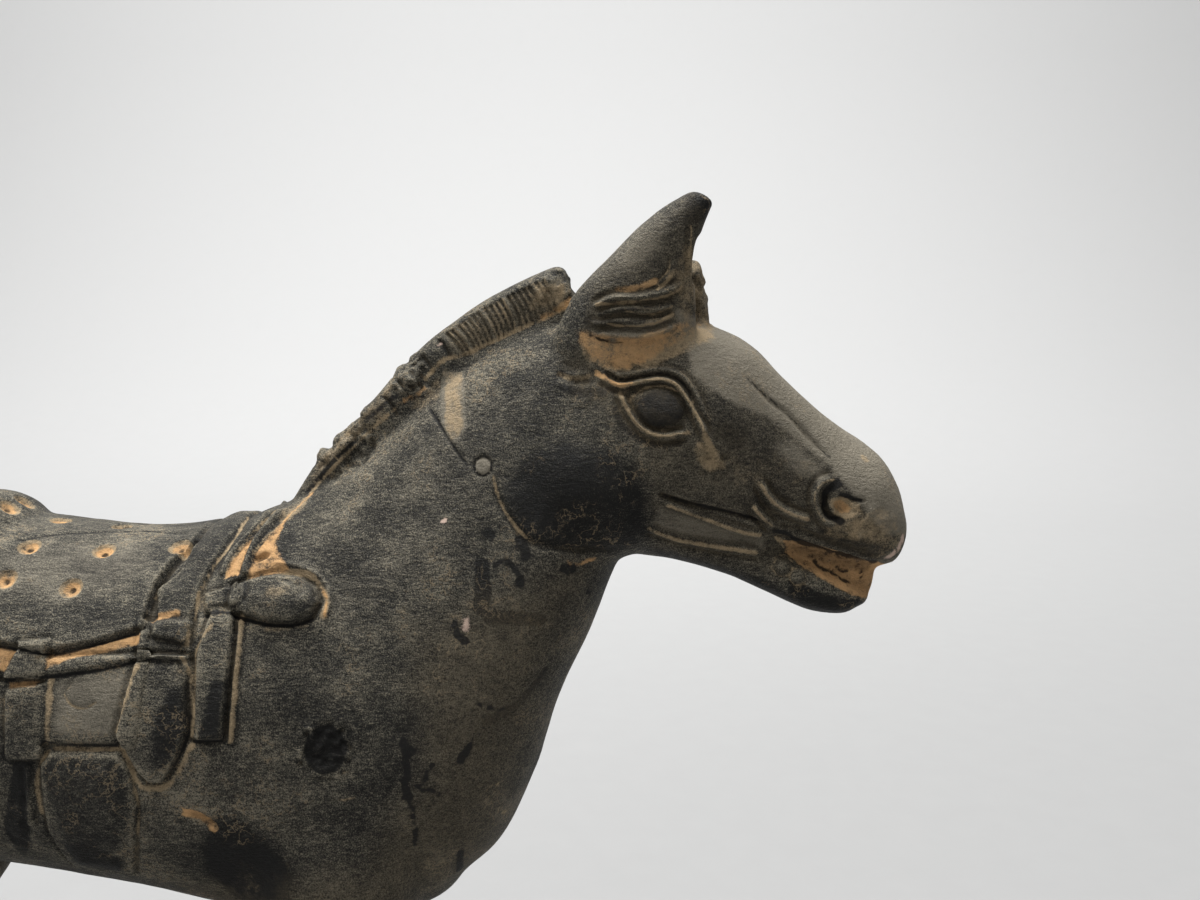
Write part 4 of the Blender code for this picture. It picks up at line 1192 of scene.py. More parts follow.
@dataclass(frozen=True)
class Face:
    """The eyes, nostrils, mouth and cheeks, laid out as (x, z)."""

    eye: Pair = (112.8, 203.8)
    eye_radii: Pair = (5.5, 4.0)
    eye_tilt: float = -8.0
    eye_height: float = 1.7
    sockets: tuple[Dent, ...] = (
        Dent((112.5, 203.8), 10.5, -0.8),
        Dent((105, 215), 8, -0.4, 0.1),
        Dent((126, 193), 9, -0.7, 0.1),
    )
    cheek_hollow: Cut = Cut(((113, 180.5), (124, 177.2), (135, 174.6)), 2.4, -0.6, 0.1)
    lid: Cut = Cut(((100.5, 210.2), (104.7, 208.4), (108.9, 209.2), (112.7, 209.8), (115.8, 209),
                    (118.2, 206.3), (121.1, 201.2), (122.2, 198.2)), 1.0, 1.2, 0.05, 0.5)
    brow: Cut = Cut(((101.7, 212), (104.7, 210.6), (108.9, 211.2), (113.1, 211.7), (116.4, 211),
                     (119.4, 208.2), (122.7, 201.2)), 0.9, 0.8, 0.05, 0.3)
    lower_lid: Cut = Cut(((104.7, 206.9), (106.9, 202.4), (109.6, 199.5), (113.2, 198.3), (118.7, 198.9)),
                         1.0, 1.2, 0.05, 0.55)
    tear: Cut = Cut(((121, 202), (122.6, 198), (124.4, 195), (126.4, 191.6)), 1.5, 0.6, 0.2)
    temple: Cut = Cut(((90, 211), (95, 209.4), (100.5, 210)), 1.5, -0.6, 0.3)
    nose_crease: Cut = Cut(((130, 211), (134.2, 207), (136.4, 204.8), (139.6, 202.6), (143.6, 198.5),
                            (146.7, 195.2), (150.2, 191.8)), 1.1, -0.55, 0.2)
    upper_smile: Cut = Cut(((133.4, 189.2), (135.8, 185.1), (138.5, 182.6), (142.1, 180.7), (146, 179.5)),
                           1.3, 1.1, 0.15, 0.7)
    lower_smile: Cut = Cut(((132.3, 183.5), (135.1, 180.2), (137.4, 178.1)), 1.3, 1.1, 0.15, 0.7)
    bar_top: Cut = Cut(((112.5, 186.1), (117.6, 184.2), (124.1, 182.6), (130.7, 180.8), (137, 178.4)),
                       0.9, -1.0, 0.05)
    bar_ridge: Cut = Cut(((113.8, 183.8), (117.6, 182.6), (122, 180.6), (126.3, 178.9), (130.8, 177.2),
                          (135.2, 176.3)), 1.3, 0.7, 0.05, 0.3)
    low_ridge: Cut = Cut(((110.2, 178.5), (113.5, 176.8), (117.8, 175.4), (124.4, 174.1), (131, 173.1),
                          (135.4, 172.3)), 1.3, 0.8, 0.1, 0.4)
    jowl: Cut = Cut(((78, 191), (79.5, 184.7), (82.9, 179.3), (86, 176.2), (96, 173.8), (106, 173.2)),
                    1.6, -0.7, 0.2)
    nostril_rim: Cut = Cut(((150, 188.5), (147.4, 187.7), (146.1, 185.5), (146.4, 182.4),
                            (148.2, 179.6), (151.1, 178.5)), 1.3, 1.2, 0.1, 0.4)
    lip: Cut = Cut(((137.4, 177.6), (140.5, 177), (143.7, 176), (146.8, 174.6), (150.8, 173.2),
                    (155.3, 171.9), (160, 170)), 1.2, 0.5, 0.1, 0.5)
    nostril_slot: Cut = Cut(((148.6, 186), (148.1, 182.8), (149.3, 180.6), (152, 179.8)), 1.1, -1.1, 0.1)
    nostril_top: Cut = Cut(((150.7, 184.6), (153.7, 184.2), (156.9, 184)), 0.8, -0.7, 0.1)
    nostril: Dent = Dent((151.8, 182.5), 2.4, -1.5)
    chin_lump: Dent = Dent((139.6, 169.3), 2.0, 0.7)
    lip_lump: Dent = Dent((142.8, 167.2), 2.0, 0.7)
    broken: tuple[Rough, ...] = (
        Rough((123.5, -15, 193.6), 5.5, 1.6, 0.45),
        Rough((157, -9, 177), 9, 2.0, 0.4),
        Rough((152, -7, 168), 6, 2.0, 0.35),
        Rough((97, -13, 209), 8, 1.8, 0.3),
    )
    marks: Marks = (
        *strokes(
            Mark.TAN,
            # The tan strokes along the lid rims, brow, smile folds, bars and nostril rim are partly painted
            # highlight on their crests.
            (((100, 210.6), (104.7, 208.6), (108.9, 209.4), (112.7, 210), (115.8, 209.2), (118.3, 206.4),
              (121.3, 201.2), (122.4, 198)), 0.95, 1.2),
            (((104.7, 206.9), (106.9, 202.4), (109.6, 199.6), (113.2, 198.4), (118.7, 199)), 0.9, 1.2),
            (((101.7, 212.6), (104.7, 211.2), (113.1, 212.4), (116.6, 211.6), (119.9, 208.5),
              (123.4, 201.2)), 0.7, 0.7),
            (upper_smile.line, 0.9, 1.0, 0.1),
            (lower_smile.line, 0.9, 0.95, 0.1),
            (((113.8, 183.8), (122, 180.6), (130.8, 177.2), (135.2, 176.3)), 1.0, 1.05, 0.05),
            (((110.2, 178.5), (113.5, 176.6), (117.8, 175.3), (124.4, 174.1), (135.4, 172.3)), 1.2, 1.05,
             0.05),
            (((150, 188.5), (147.2, 187.7), (145.9, 185.5), (146.2, 182.4), (148, 179.6)), 0.7, 0.9),
            (((137.4, 176), (139.4, 174.6), (140.4, 172.4)), 1.1, 1.1, 0.1),
            (((78, 191), (79.5, 184.7), (82.9, 179.3), (86, 176.2)), 0.9, 0.9, 0.1),
            (((90, 211.4), (95, 209.8), (100, 211)), 1.6, 0.8, 0.2),
            (((155.5, 193.6), (157.6, 191.6)), 1.6, 0.8, 0.2),
            (((96.6, 218), (97.4, 214.6), (99.4, 212.6)), 1.3, 0.85, 0.15),
            (ring(chin_lump.place, (2.2, 2.2), 100, 460), 0.5, 0.9),
            (ring((142.9, 167.1), (1.8, 1.8), 100, 460), 0.5, 0.8),
            (ring((112.6, 203.7), (6.3, 4.7), 25, 175), 0.75, 1.0, 0.1),
            (((119.4, 206.6), (120, 204), (119.6, 201)), 0.8, 0.9, 0.2),
            (((121, 202), (122.4, 198), (124, 195), (126, 192)), 1.4, 1.0, 0.1),
        ),
        *strokes(
            Mark.DUST,
            (((98.6, 211.6), (101.5, 210.2), (104.7, 208.9), (108.4, 209.6)), 1.3, 1.0, 0.15),
            (((140.7, 172.3), (143.8, 169.6), (148, 167), (152.3, 164.7), (156.6, 162.9)), 1.4, 1.15),
        ),
        *strokes(
            Mark.PIT_AND_SHADOW,
            # Painted shadow in the grooves round the eye, nose and bar, in the nostril and under the lip and
            # the hair.
            (((99.5, 212.4), (104.7, 209.7), (108.9, 210.3), (113, 210.9), (116.2, 210.1), (118.9, 207.3),
              (122, 201.2)), 0.5, 0.9, 0.1),
            (((130, 211), (134.2, 207), (139.6, 202.4), (146.7, 195.2), (150.2, 191.8)), 0.6, 0.62, 0.1),
            (((112.5, 186.1), (117.6, 184.3), (124.1, 182.7), (130.7, 180.9), (137, 178.6)), 0.8, 0.95, 0.1),
            (((150.6, 187.6), (148.4, 186), (147.9, 183), (148.6, 180.6), (151.6, 179.4)), 1.5, 1.2),
            (((150.4, 185.7), (153.7, 184.5), (156.9, 183.7)), 1.0, 1.0, 0.2),
            (((137.6, 177.4), (140.6, 176.4), (143.6, 174.4), (147.8, 173.3), (154.4, 171.2),
              (159.6, 169.8)), 1.3),
            (((146.6, 170.6), (147.8, 168.6), (150.3, 167.4), (152.9, 165.8), (155.6, 164.6)), 0.8, 0.9, 0.1),
            (((151, 169), (153, 167.4), (155, 167.8)), 0.8, 0.85, 0.2),
            (((155.6, 170), (157.4, 167), (157, 165)), 0.7, 0.8, 0.2),
            (((98, 220), (99, 218.6), (101.7, 217.7), (105.4, 217.3)), 0.65, 1.0, 0.1),
        ),
        *strokes(
            Mark.SOOT_AND_SHADE,
            # This stroke and the next are painted shade under the upper and the lower lid.
            (((102, 207.6), (106, 207.9), (109, 208.4), (112.7, 208.8), (115.4, 208), (117.6, 205.6),
              (119.6, 201.4)), 1.1),
            (((102.9, 205), (105, 200.8), (108.6, 197.6), (113.2, 196.4), (119, 197)), 1.4, 0.75, 0.1),
            (((135, 189.8), (138, 186), (142, 183)), 1.6, 0.7, 0.2),
            (((112, 181.4), (118, 178.6), (126, 176), (134.6, 174.2)), 1.4, 0.7, 0.1),
            (((88, 209.6), (96, 207), (103, 207)), 2.0, 0.8, 0.2),
        ),
        Stroke(Mark.CHIP, ((160.6, 169.8), (163.4, 171.8), (165.2, 174.6), (165.8, 178)), 1.8, 0.8, 0.25,
               Flank.RIGHT),
        *washes(
            Mark.TAN,
            (((96.4, 219), (104, 217.6), (113.9, 219.7), (118, 221.1), (124, 221.4), (124.5, 218),
              (119.1, 215.4), (113.4, 213), (108.8, 211.4), (102, 211.4), (98.4, 213.4)), 2.6),
            (((108, 213), (124, 217), (126, 221.6), (114, 221), (106, 218)), 3, 0.6),
            (((147.7, 178.4), (153.5, 180.4), (159.7, 183.4), (164.8, 180), (163.6, 174), (155, 174.6),
              (148, 175.6)), 3.2, 0.66),
            (((126, 198), (136, 197), (149, 192), (146.4, 187), (140, 184), (131, 181), (127, 188)), 5, 0.42),
            (((120.4, 197.6), (125, 195.4), (127.4, 191), (123, 190.4), (119.4, 194.6)), 2.4, 0.85),
            (((148.6, 184.2), (151.2, 185), (155.4, 183.6), (156, 181.4), (152.6, 179.6), (150, 180.6)), 1.6),
        ),
        *washes(
            Mark.DUST,
            (((98.6, 219.6), (102.9, 218.9), (107.1, 218.5), (111, 219.3), (114.4, 220.9), (115.4, 220.6),
              (112.8, 217.2), (109, 215.4), (105.6, 216), (101.4, 217), (98.8, 218)), 2.4),
            (((100.6, 214.8), (102.9, 215.7), (105.6, 216), (109, 215.7), (111, 214.6), (109.8, 212.8),
              (107, 211.8), (103.6, 211.8), (100.8, 213)), 2.4),
            (((118, 221.6), (121, 222.4), (123.6, 221), (121, 219)), 2.4, 0.6),
            (((95.2, 220.5), (100, 219.6), (108, 218.8), (114, 220.6), (119, 222.6), (120, 219),
              (115, 216), (111, 213.6), (107, 212), (102, 211.6), (98, 213.6), (96, 217)), 3.0, 0.78),
            (((139.4, 175), (143.5, 174.8), (150, 173), (157.5, 170.6), (162.4, 169.2), (161, 161.5),
              (157, 161.8), (150.5, 165), (143.8, 168.8)), 0.9, 1.1),
            (((149.4, 183.7), (151.2, 184.2), (152.9, 183.3), (154, 182.5), (153.6, 181.2), (151.8, 180.7),
              (150.4, 181.8)), 1.2, 0.75),
        ),
        *washes(
            Mark.BROWN,
            (((90, 214), (100, 222), (124, 222), (146, 204), (160, 192), (168, 180), (164, 168),
              (140, 166), (112, 172), (108, 196), (94, 206)), 8, 0.62),
            (((104, 200), (122, 196), (131, 190), (126, 184), (112, 187)), 8, 0.5),
        ),
        *washes(
            Mark.WORN_AND_HIGHLIGHT,
            # Lighter down the nose, over the muzzle and the forehead: wear, partly painted highlight.
            (((116, 224), (124, 221), (134, 215), (142, 208), (150, 202), (158, 196), (163, 190),
              (162, 182), (155, 186.6), (150, 191), (143, 196.6), (136, 202), (127, 205.6),
              (120, 211)), 3.4, 1.15),
            (((136, 196), (141, 197), (149, 190), (147, 187.5), (140, 191)), 4, 0.62),
            (((148, 199), (160, 196), (168, 186), (168, 176), (161, 177), (156, 183), (150, 190)), 4, 1.1),
            (((98, 213), (112, 214), (124, 218), (126, 222), (112, 222), (99, 219.6)), 3, 0.5),
            (((113, 183.4), (122, 180.2), (131, 177), (136, 176), (135.4, 172.8), (124.4, 174.8),
              (113.5, 177.6), (110.4, 179.2)), 2.4, 0.5),
        ),
        *washes(
            Mark.PIT_AND_SHADOW,
            # Painted shadow in the top of the mouth under the upper lip.
            (((139, 175), (150, 173), (160, 169.6), (159, 166.6), (149, 168.6), (142, 171.4)), 2.4, 0.52),
            (ring(eye, (5.2, 3.8)), 1.6, 0.5),
        ),
        *washes(
            Mark.SOOT_AND_SHADE,
            (((120, 209), (127, 206), (133, 201), (135, 194), (127, 195), (123.6, 199)), 6, 0.55),
            (((131, 199), (138, 197), (145, 190), (142, 184), (134, 190)), 5, 0.5),
            (((80, 185), (84, 192), (93, 197), (103, 194), (110, 187), (111, 177), (104, 173), (92, 174.5),
              (84, 178)), 12),
            # This wash and the next are painted shade under the jaw and the chin.
            (((108, 174), (121, 171.5), (135, 167), (142, 163), (157, 160), (157, 156), (140, 158),
              (118, 165)), 4, 0.72),
            (((141, 166), (150, 163), (159, 160.5), (158, 156), (148, 156.5), (141, 161)), 3, 0.95),
            (((147, 178), (157, 176), (163, 173.6), (160, 170), (150, 173.3), (145, 176)), 3, 0.72),
            (ring(eye, (5.4, 4.0)), 1.0),
        ),
    )

    def carve(self, clay: Carver, chance: Roughness3D) -> None:
        """Cuts the face into both sides of the head."""
        clay.dent(*self.sockets)
        clay.on_profile(self.cheek_hollow)
        clay.press()
        clay.dome(self.eye, self.eye_radii, self.eye_tilt, self.eye_height)
        clay.on_profile(self.lid, self.brow, self.lower_lid, self.tear, self.temple, self.nose_crease,
                        self.upper_smile, self.lower_smile, self.bar_top, self.bar_ridge,
                        self.low_ridge, self.jowl, self.nostril_rim, self.lip)
        clay.press()
        clay.on_profile(self.nostril_slot, self.nostril_top)
        clay.dent(self.nostril, self.chin_lump, self.lip_lump)
        clay.roughen(chance, *self.broken)
        clay.press()

    def paint(self, paint: Painter) -> None:
        """Lays earth in the hollows of the face, dark slip on its cheeks, painted shade in its grooves and
        under its lids, lip and jaw, and wear down the nose that is partly painted highlight.
        """
        paint.on_profile(*self.marks)


@dataclass(frozen=True)
class Locks:
    """Strokes in the mane, the strands under each ear and the scoop in its front."""

    foot: Line = ((70.4, 213.6), (80, 218.2), (91.5, 223.4))
    crest: Line = ((66.4, 218.4), (77, 225), (88.2, 230.3))
    cuts: int = 18
    cut_width: float = 0.75
    cut_height: float = -0.75
    strands: tuple[Line, ...] = (
        ((98.4, 224), (103, 226.4), (108, 226.6), (113, 227.6), (118, 229.4)),
        ((98.6, 222.6), (105, 224.2), (111, 224.2), (116.6, 225.4)),
        ((98.2, 221), (104, 221.9), (110, 221.5), (116.4, 223.2)),
        ((99.5, 219.2), (105, 218.9), (111, 219.1), (116.6, 221.2)),
    )
    scoop: Cut = Cut(((-9, 229), (-9.4, 232), (-9.9, 236), (-10.4, 240)), 2.6, -1.3, 0.25)
    ear_folds: tuple[Cut, ...] = (
        Cut(((118.4, 230), (118.2, 236), (118.6, 242)), 0.9, -0.45, 0.2),
        Cut(((114.6, 235.5), (114, 231.8), (110.5, 229)), 0.8, -0.35, 0.2),
    )
    tail_cuts: tuple[float, ...] = (-100.4, -103)
    broken: tuple[Rough, ...] = (
        Rough((58, -4, 210), 7, 2.2, 1.1),
        Rough((42, -3, 196), 12, 2.4, 1.2),
        Rough((92, -4, 228), 7, 2.2, 0.6),
        Rough((122, -3, 226), 9, 2.0, 0.5),
    )
    notches: Line = ((66.4, 215.4), (62.6, 212), (60, 208.8), (57.4, 206.4), (54.2, 203))
    marks: Marks = (
        *strokes(
            Mark.DUST,
            (((101.9, 228), (105, 228.3), (108.3, 228.5), (111.1, 229.6), (113.4, 230.6)), 1.5, 0.95, 0.2),
            (((33, 180), (36.5, 184)), 1.0, 0.9, 0.1),
            (((56.4, 203.8), (60, 205.4), (62.6, 207.6)), 1.4, 0.85, 0.1),
            (((86.5, 221.8), (91, 224), (94.5, 226.4)), 1.5, 0.95, 0.1),
        ),
        *strokes(
            Mark.TAN,
            # These tan strokes along the ridges of the strands under the ear are partly painted highlight.
            (((98.9, 225.1), (103.2, 225.4), (109.7, 226), (115, 227.2), (117.6, 229)), 1.0, 1.4, 0.05),
            (((105.5, 223.8), (111.1, 223.3), (116, 224.9)), 0.9, 1.1, 0.1),
            (((101, 221.2), (105.4, 220.8), (109.7, 220.9), (113, 221.7), (116.3, 223.8)), 1.0, 1.35, 0.1),
            (((111.7, 227.7), (113.6, 229.3), (115.2, 230.9)), 0.8, 1.2, 0.1),
            (((109.1, 227.9), (109.9, 229.1), (110.9, 230.1)), 0.8, 1.2, 0.1),
            (((118.9, 242), (119, 237.3), (118.2, 233.2), (118, 230)), 0.6, 0.9, 0.1),
            (((114.8, 236.3), (114.3, 231.8), (110.1, 228.4)), 0.6, 0.7, 0.2),
            (((117, 226.6), (113, 228.8), (110, 230.4)), 0.6, 0.8, 0.2),
            (((33, 180.4), (40.1, 188.4), (49.5, 197.4), (57.4, 204.6)), 0.9, 0.95, 0.05),
            (((62, 209), (66, 213), (71, 214.4), (80, 218.6), (88, 222), (94, 225)), 1.2, 1.05),
        ),
        *strokes(
            Mark.SOOT_AND_SHADE,
            # These three strokes are painted shade at the strands' roots and in the grooves between them.
            (((97, 222.4), (99.6, 221.4), (103, 222.4)), 2.2, 1.1, 0.1),
            (((99, 223.4), (108, 224.2), (117, 225.6)), 1.0, 0.85, 0.1),
            (((99, 221.4), (108, 221.6), (117, 223.4)), 1.0, 0.95, 0.1),
        ),
        Stroke(Mark.BROWN, ((99.5, 219.2), (105, 218.9), (111, 219.2), (117, 221.4)), 1.8, 1.3, 0.1),
        *strokes(
            Mark.CHIP,
            (((113.6, 245.2), (116.2, 246.8)), 0.9, 0.9, 0.2, Flank.RIGHT),
            (((64.4, 215.8), (66, 217)), 0.9, 0.62, 0.2, Flank.RIGHT),
        ),
        *strokes(
            Mark.PIT_AND_SHADOW,
            # Painted shadow along the foot of the mane.
            (((33.8, 182.4), (40, 189.6), (46.4, 195.6)), 0.9, 1.0, 0.1),
            (((47, 198.4), (52, 202.6), (57, 206.8)), 1.1, 0.8, 0.2),
        ),
        *washes(
            Mark.TAN,
            (((84, 222.5), (93, 226.4), (93, 230), (86, 229)), 3, 0.75),
            (((34, 183), (40, 189), (48, 196.4), (55, 203), (55, 209), (45, 199), (36, 190)), 2, 0.55),
            (((117.4, 219), (125, 219), (125.4, 235), (118, 238), (114, 231), (116.4, 226)), 2.6, 0.66),
        ),
        *washes(
            Mark.BROWN,
            (((68, 214), (80, 219), (93, 224.5), (92, 231), (78, 226), (66, 219)), 2),
            (((96, 227), (112, 231), (117, 243), (110, 240), (98, 229)), 5, 0.8),
            (((96, 219), (112, 220), (126, 219), (126, 236), (119, 249), (110, 241), (98, 229)), 4, 0.7),
        ),
        Wash(Mark.WORN_AND_HIGHLIGHT, ((97, 229), (103, 230), (112, 234), (118, 246), (110, 243), (100, 234)), 5, 0.5),
        *washes(
            Mark.SOOT_AND_SHADE,
            (((103, 231), (112, 233), (115, 242), (110, 238)), 5, 0.45),
            # Painted shade in the front of the ear's hollow.
            (((117, 240), (124, 242), (124, 249), (117, 248)), 3, 0.7),
        ),
    )

    def _between(self, line: Line, share: float) -> Pair:
        """The place at a share of the way along a line."""
        place = spline(line, FINE_STEPS)[round(share * FINE_STEPS * (len(line) - 1))]
        return float(place[0]), float(place[1])

    def _cut(self, share: float) -> Line:
        """One stroke in the mane, from its foot to the crest, leaning back a little."""
        low, high = self._between(self.foot, share), self._between(self.crest, share)
        middle = ((low[0] + high[0]) / 2 + 0.5, (low[1] + high[1]) / 2)
        return low, middle, high

    def carve(self, clay: Carver, chance: Roughness3D) -> None:
        """Cuts the hair and the ears."""
        clay.on_profile(*(Cut(strand, 1.05, 0.95, 0.12, 0.45) for strand in self.strands))
        clay.roughen(chance, *self.broken)
        clay.press()
        for step in range(self.cuts):
            line = self._cut((step + 0.5) / self.cuts)
            clay.on_profile(Cut(line, self.cut_width, self.cut_height))
        for x, z in self.notches:
            clay.on_profile(Cut(((x + 1.3, z - 1.9), (x + 0.3, z), (x - 1.2, z + 1.8)), 0.8, -0.8))
        clay.trace(self.scoop, clay.front_path(self.scoop.line))
        clay.on_profile(*self.ear_folds)
        for x in self.tail_cuts:
            clay.on_profile(Cut(((x + 1, 158), (x, 140), (x, 118), (x + 1.2, 94)), 1.1, -0.8, 0.15))
        clay.press()

    def paint(self, paint: Painter) -> None:
        """Lays earth along the foot of the mane, darkens its cuts with painted shadow and lays tan between
        them, partly painted highlight.
        """
        paint.on_profile(*self.marks)
        for step in range(self.cuts * 2):
            line = self._cut((step + 1) / self.cuts / 2)
            # A black stroke of painted shadow in each cut, and a tan stroke, partly painted highlight, on the
            # ridge between two cuts.
            groove = Stroke(Mark.PIT_AND_SHADOW, line, 0.5, 0.55)
            crest = Stroke(Mark.TAN, line, 0.8, 0.75)
            paint.on_profile(crest if step % 2 else groove)


@dataclass(frozen=True)
class Handling:
    """The marks of age on the neck and flanks, most of them on the right, with painted highlight along the
    top of the neck and rump.
    """

    crack: Cut = Cut(((62.9, 203.5), (66.2, 199.6), (69.2, 195.7), (73.3, 190.8)), 0.7, -0.45, 0.2)
    gouge: Cut = Cut(((16.5, 122.4), (18.8, 121.5), (21.1, 120), (22.5, 118.6)), 1.6, -0.9, 0.3)
    gouge_lip: Cut = Cut(((20.6, 119.4), (22.6, 118), (25, 116.8)), 0.7, 0.5, 0.2)
    disc: Pair = (76, 191.6)
    disc_radius: float = 1.9
    disc_rim: Line = ring(disc, (disc_radius, disc_radius))
    oval: Pair = (44.6, 134.6)
    coronets: tuple[Cut, ...] = (
        Cut(((38.4, 10), (50, 10.2), (60, 6)), 1.0, -0.5, 0.1),
        Cut(((-82, 9.6), (-72, 10), (-61, 6)), 1.0, -0.5, 0.1),
    )
    uneven: tuple[Pair, ...] = ((11, 0.22), (4.2, 0.09))
    on_right: Marks = only(
        Flank.RIGHT,
        *strokes(
            Mark.PIT_AND_SHADOW,
            (((59.7, 133.7), (60.2, 135.6), (60.9, 129.3), (60.2, 125.9), (61.3, 121.6)), 1.3, 1.7, 0.1),
            (((61, 123), (61.8, 116.6), (61.2, 109.9)), 0.75, 1.3, 0.15),
            (((59.6, 134.6), (63.1, 132.9)), 1.5, 1.7, 0.15),
            (((66.4, 131), (64.8, 128), (62.6, 124.4)), 0.75, 1.4, 0.15),
            (((62.8, 124.8), (65.6, 124.2), (68, 122.9)), 0.8, 1.4, 0.2),
            (((74, 134.6), (72.6, 132), (71, 129.4)), 1.3, 1.7, 0.2),
            (((70.4, 108.5), (69.6, 103), (68.7, 98.8)), 1.2, 1.7, 0.2),
            (((77.6, 171.6), (81.6, 171.8), (83.4, 169.4), (84.6, 166.4)), 1.0, 1.7, 0.1),
            (((82.9, 177.6), (84.9, 174.6), (85.2, 171.4)), 1.7, 1.7, 0.2),
            (((92, 170.8), (93.8, 169.9), (95.8, 170)), 1.6, 1.7, 0.2),
            (((70.6, 160.8), (71.2, 157.2), (73.4, 155.4)), 1.0, 1.7, 0.1),
            (((97.6, 164.4), (98, 162.4)), 1.0, 1.7, 0.2),
            (((101, 163.6), (101.6, 162)), 0.9, 1.7, 0.2),
            (((73.6, 143.6), (78, 141), (82, 140.4)), 0.8, 1.0, 0.3),
            (crack.line, 0.55, 0.85, 0.1),
        ),
        *strokes(
            Mark.SOOT_AND_SHADE,
            (((90, 150), (87.6, 146), (83.5, 141.3), (79.5, 139.1), (73.6, 137.6)), 1.6, 1.2, 0.2),
            (((75.6, 160.6), (83.9, 160.2), (89.6, 159)), 2.2, 1.5, 0.1),
            (((75.6, 173.6), (76.4, 168), (75.6, 160)), 2.8, 1.3, 0.15),
            (((76, 178.6), (79, 177)), 2.6, 0.9, 0.2),
        ),
        *strokes(
            Mark.DUST,
            (((92.2, 173), (95.2, 170.6), (98.3, 171.3), (100.4, 171.9)), 1.2, 0.75, 0.2),
            (((15.4, 122.8), (18.8, 121.4), (21.2, 119.2), (22.6, 117.8)), 1.7, 1.2, 0.1),
        ),
        *strokes(
            Mark.CHIP,
            (((72.3, 161.4), (72.9, 159.6), (72.7, 157)), 2.2, 0.7, 0.2),
            (((68, 180.8), (68.1, 179.4)), 0.9, 1.2, 0.1),
        ),
        *strokes(
            Mark.TAN,
            (((66.2, 154.2), (68.1, 154.8)), 0.8, 1.0, 0.2),
            (((39.6, 144), (40.6, 146.4)), 0.9, 0.9, 0.2),
            (((47.2, 169), (48.6, 164.2)), 0.6, 0.8, 0.2),
            (((45.2, 123.7), (55.1, 124)), 0.6, 0.7, 0.2),
            (((75.6, 121.6), (77.4, 123), (79.4, 122.6)), 0.9, 1.0, 0.2),
            (((77.6, 117), (79.6, 113), (78.6, 108)), 0.8, 0.9, 0.2),
            (((20.6, 119.6), (22.4, 118.6)), 1.6, 0.9, 0.2),
            (((26, 131), (30, 127.4)), 0.6, 0.8, 0.3),
            (((33, 100), (36, 106), (34, 116), (30, 122)), 1.6, 0.45, 0.2),
        ),
        *strokes(
            Mark.BROWN,
            (((75.1, 121.4), (75.6, 119.8)), 1.6, 1.1, 0.2),
            (((58.6, 114.2), (60.4, 113.2)), 1.4, 1.1, 0.2),
        ),
        Wash(Mark.WORN_AND_HIGHLIGHT, ((65.4, 211), (70.8, 210.4), (72.4, 199.4), (70.8, 196.4), (68.9, 195.8),
                         (66.4, 199), (65.6, 205)), 0.8, 0.6),
        *washes(
            Mark.TAN,
            (((66, 211), (70.6, 210.4), (71.8, 199.4), (70.4, 197), (68.9, 196.4), (67.4, 199),
              (66.6, 205)), 0.8, 0.86),
            (((56, 203), (66, 211), (66, 204), (60, 201.6)), 3, 0.6),
        ),
        *washes(
            Mark.SOOT_AND_SHADE,
            (((18, 114), (24, 119), (31, 115), (37, 107), (35, 100), (24, 101), (18, 107)), 14, 1.3),
            (((24, 111), (30, 111), (33, 106), (28, 104), (23, 107)), 5, 1.4),
            (((60, 196), (76, 190), (78, 178), (66, 178)), 10, 0.35),
            (((72, 140), (86, 146), (84, 134), (70, 128)), 8, 0.4),
        ),
        Wash(Mark.PIT_AND_SHADOW, ((20, 113), (29, 115.6), (35, 109), (33, 101), (23, 100.6), (19, 106)), 10, 0.9),
    )
    on_left: Marks = only(
        Flank.LEFT,
        Stroke(Mark.PIT_AND_SHADOW, ((50, 150), (51, 141), (50.4, 134)), 0.8, 0.8, 0.3),
        Stroke(Mark.SOOT_AND_SHADE, ((66, 168), (72, 160), (70, 150)), 2.2, 0.9, 0.3),
        Stroke(Mark.TAN, ((57, 178), (60, 172)), 0.7, 0.8, 0.3),
        Stroke(Mark.CHIP, ((62, 152), (62.6, 150.6)), 0.9, 0.9, 0.2),
        Wash(Mark.SOOT_AND_SHADE, ((20, 150), (34, 152), (38, 138), (24, 134)), 10, 0.6),
    )
    on_both: Marks = (
        *strokes(
            Mark.TAN,
            (((38.4, 11), (50, 11.2), (59, 7)), 0.9, 0.8, 0.1),
            (((-82, 10.6), (-72, 11), (-61.6, 7)), 0.9, 0.8, 0.1),
        ),
        *washes(
            Mark.BROWN,
            (((60, 160), (95, 172), (100, 170), (85, 130), (80, 96), (10, 88), (10, 104), (50, 110),
              (62, 128)), 22, 0.85),
            (((-95, 100), (60, 100), (70, 0), (-100, 0)), 20, 0.7),
        ),
        *washes(
            Mark.SOOT_AND_SHADE,
            # Darker along the underside of the belly.
            (((0, 104), (60, 100), (62, 86), (-70, 86), (-70, 104)), 12, 0.5),
            (((-80, 130), (-60, 134), (-58, 112), (-78, 108)), 12, 0.5),
        ),
        *washes(
            Mark.WORN_AND_HIGHLIGHT,
            # Lighter over the top of the neck and the rump: painted highlight.
            (((34, 180), (60, 202), (80, 214), (96, 215), (84, 196), (72, 172), (50, 156), (34, 160)), 16,
             0.22),
            (((-96, 172), (-60, 178), (-60, 150), (-96, 140)), 16, 0.45),
        ),
        *washes(
            Mark.TAN,
            (((36, 3), (62, 3), (62, -3), (36, -3)), 3, 0.6),
            (((-84, 3), (-58, 3), (-58, -3), (-84, -3)), 3, 0.6),
        ),
    )

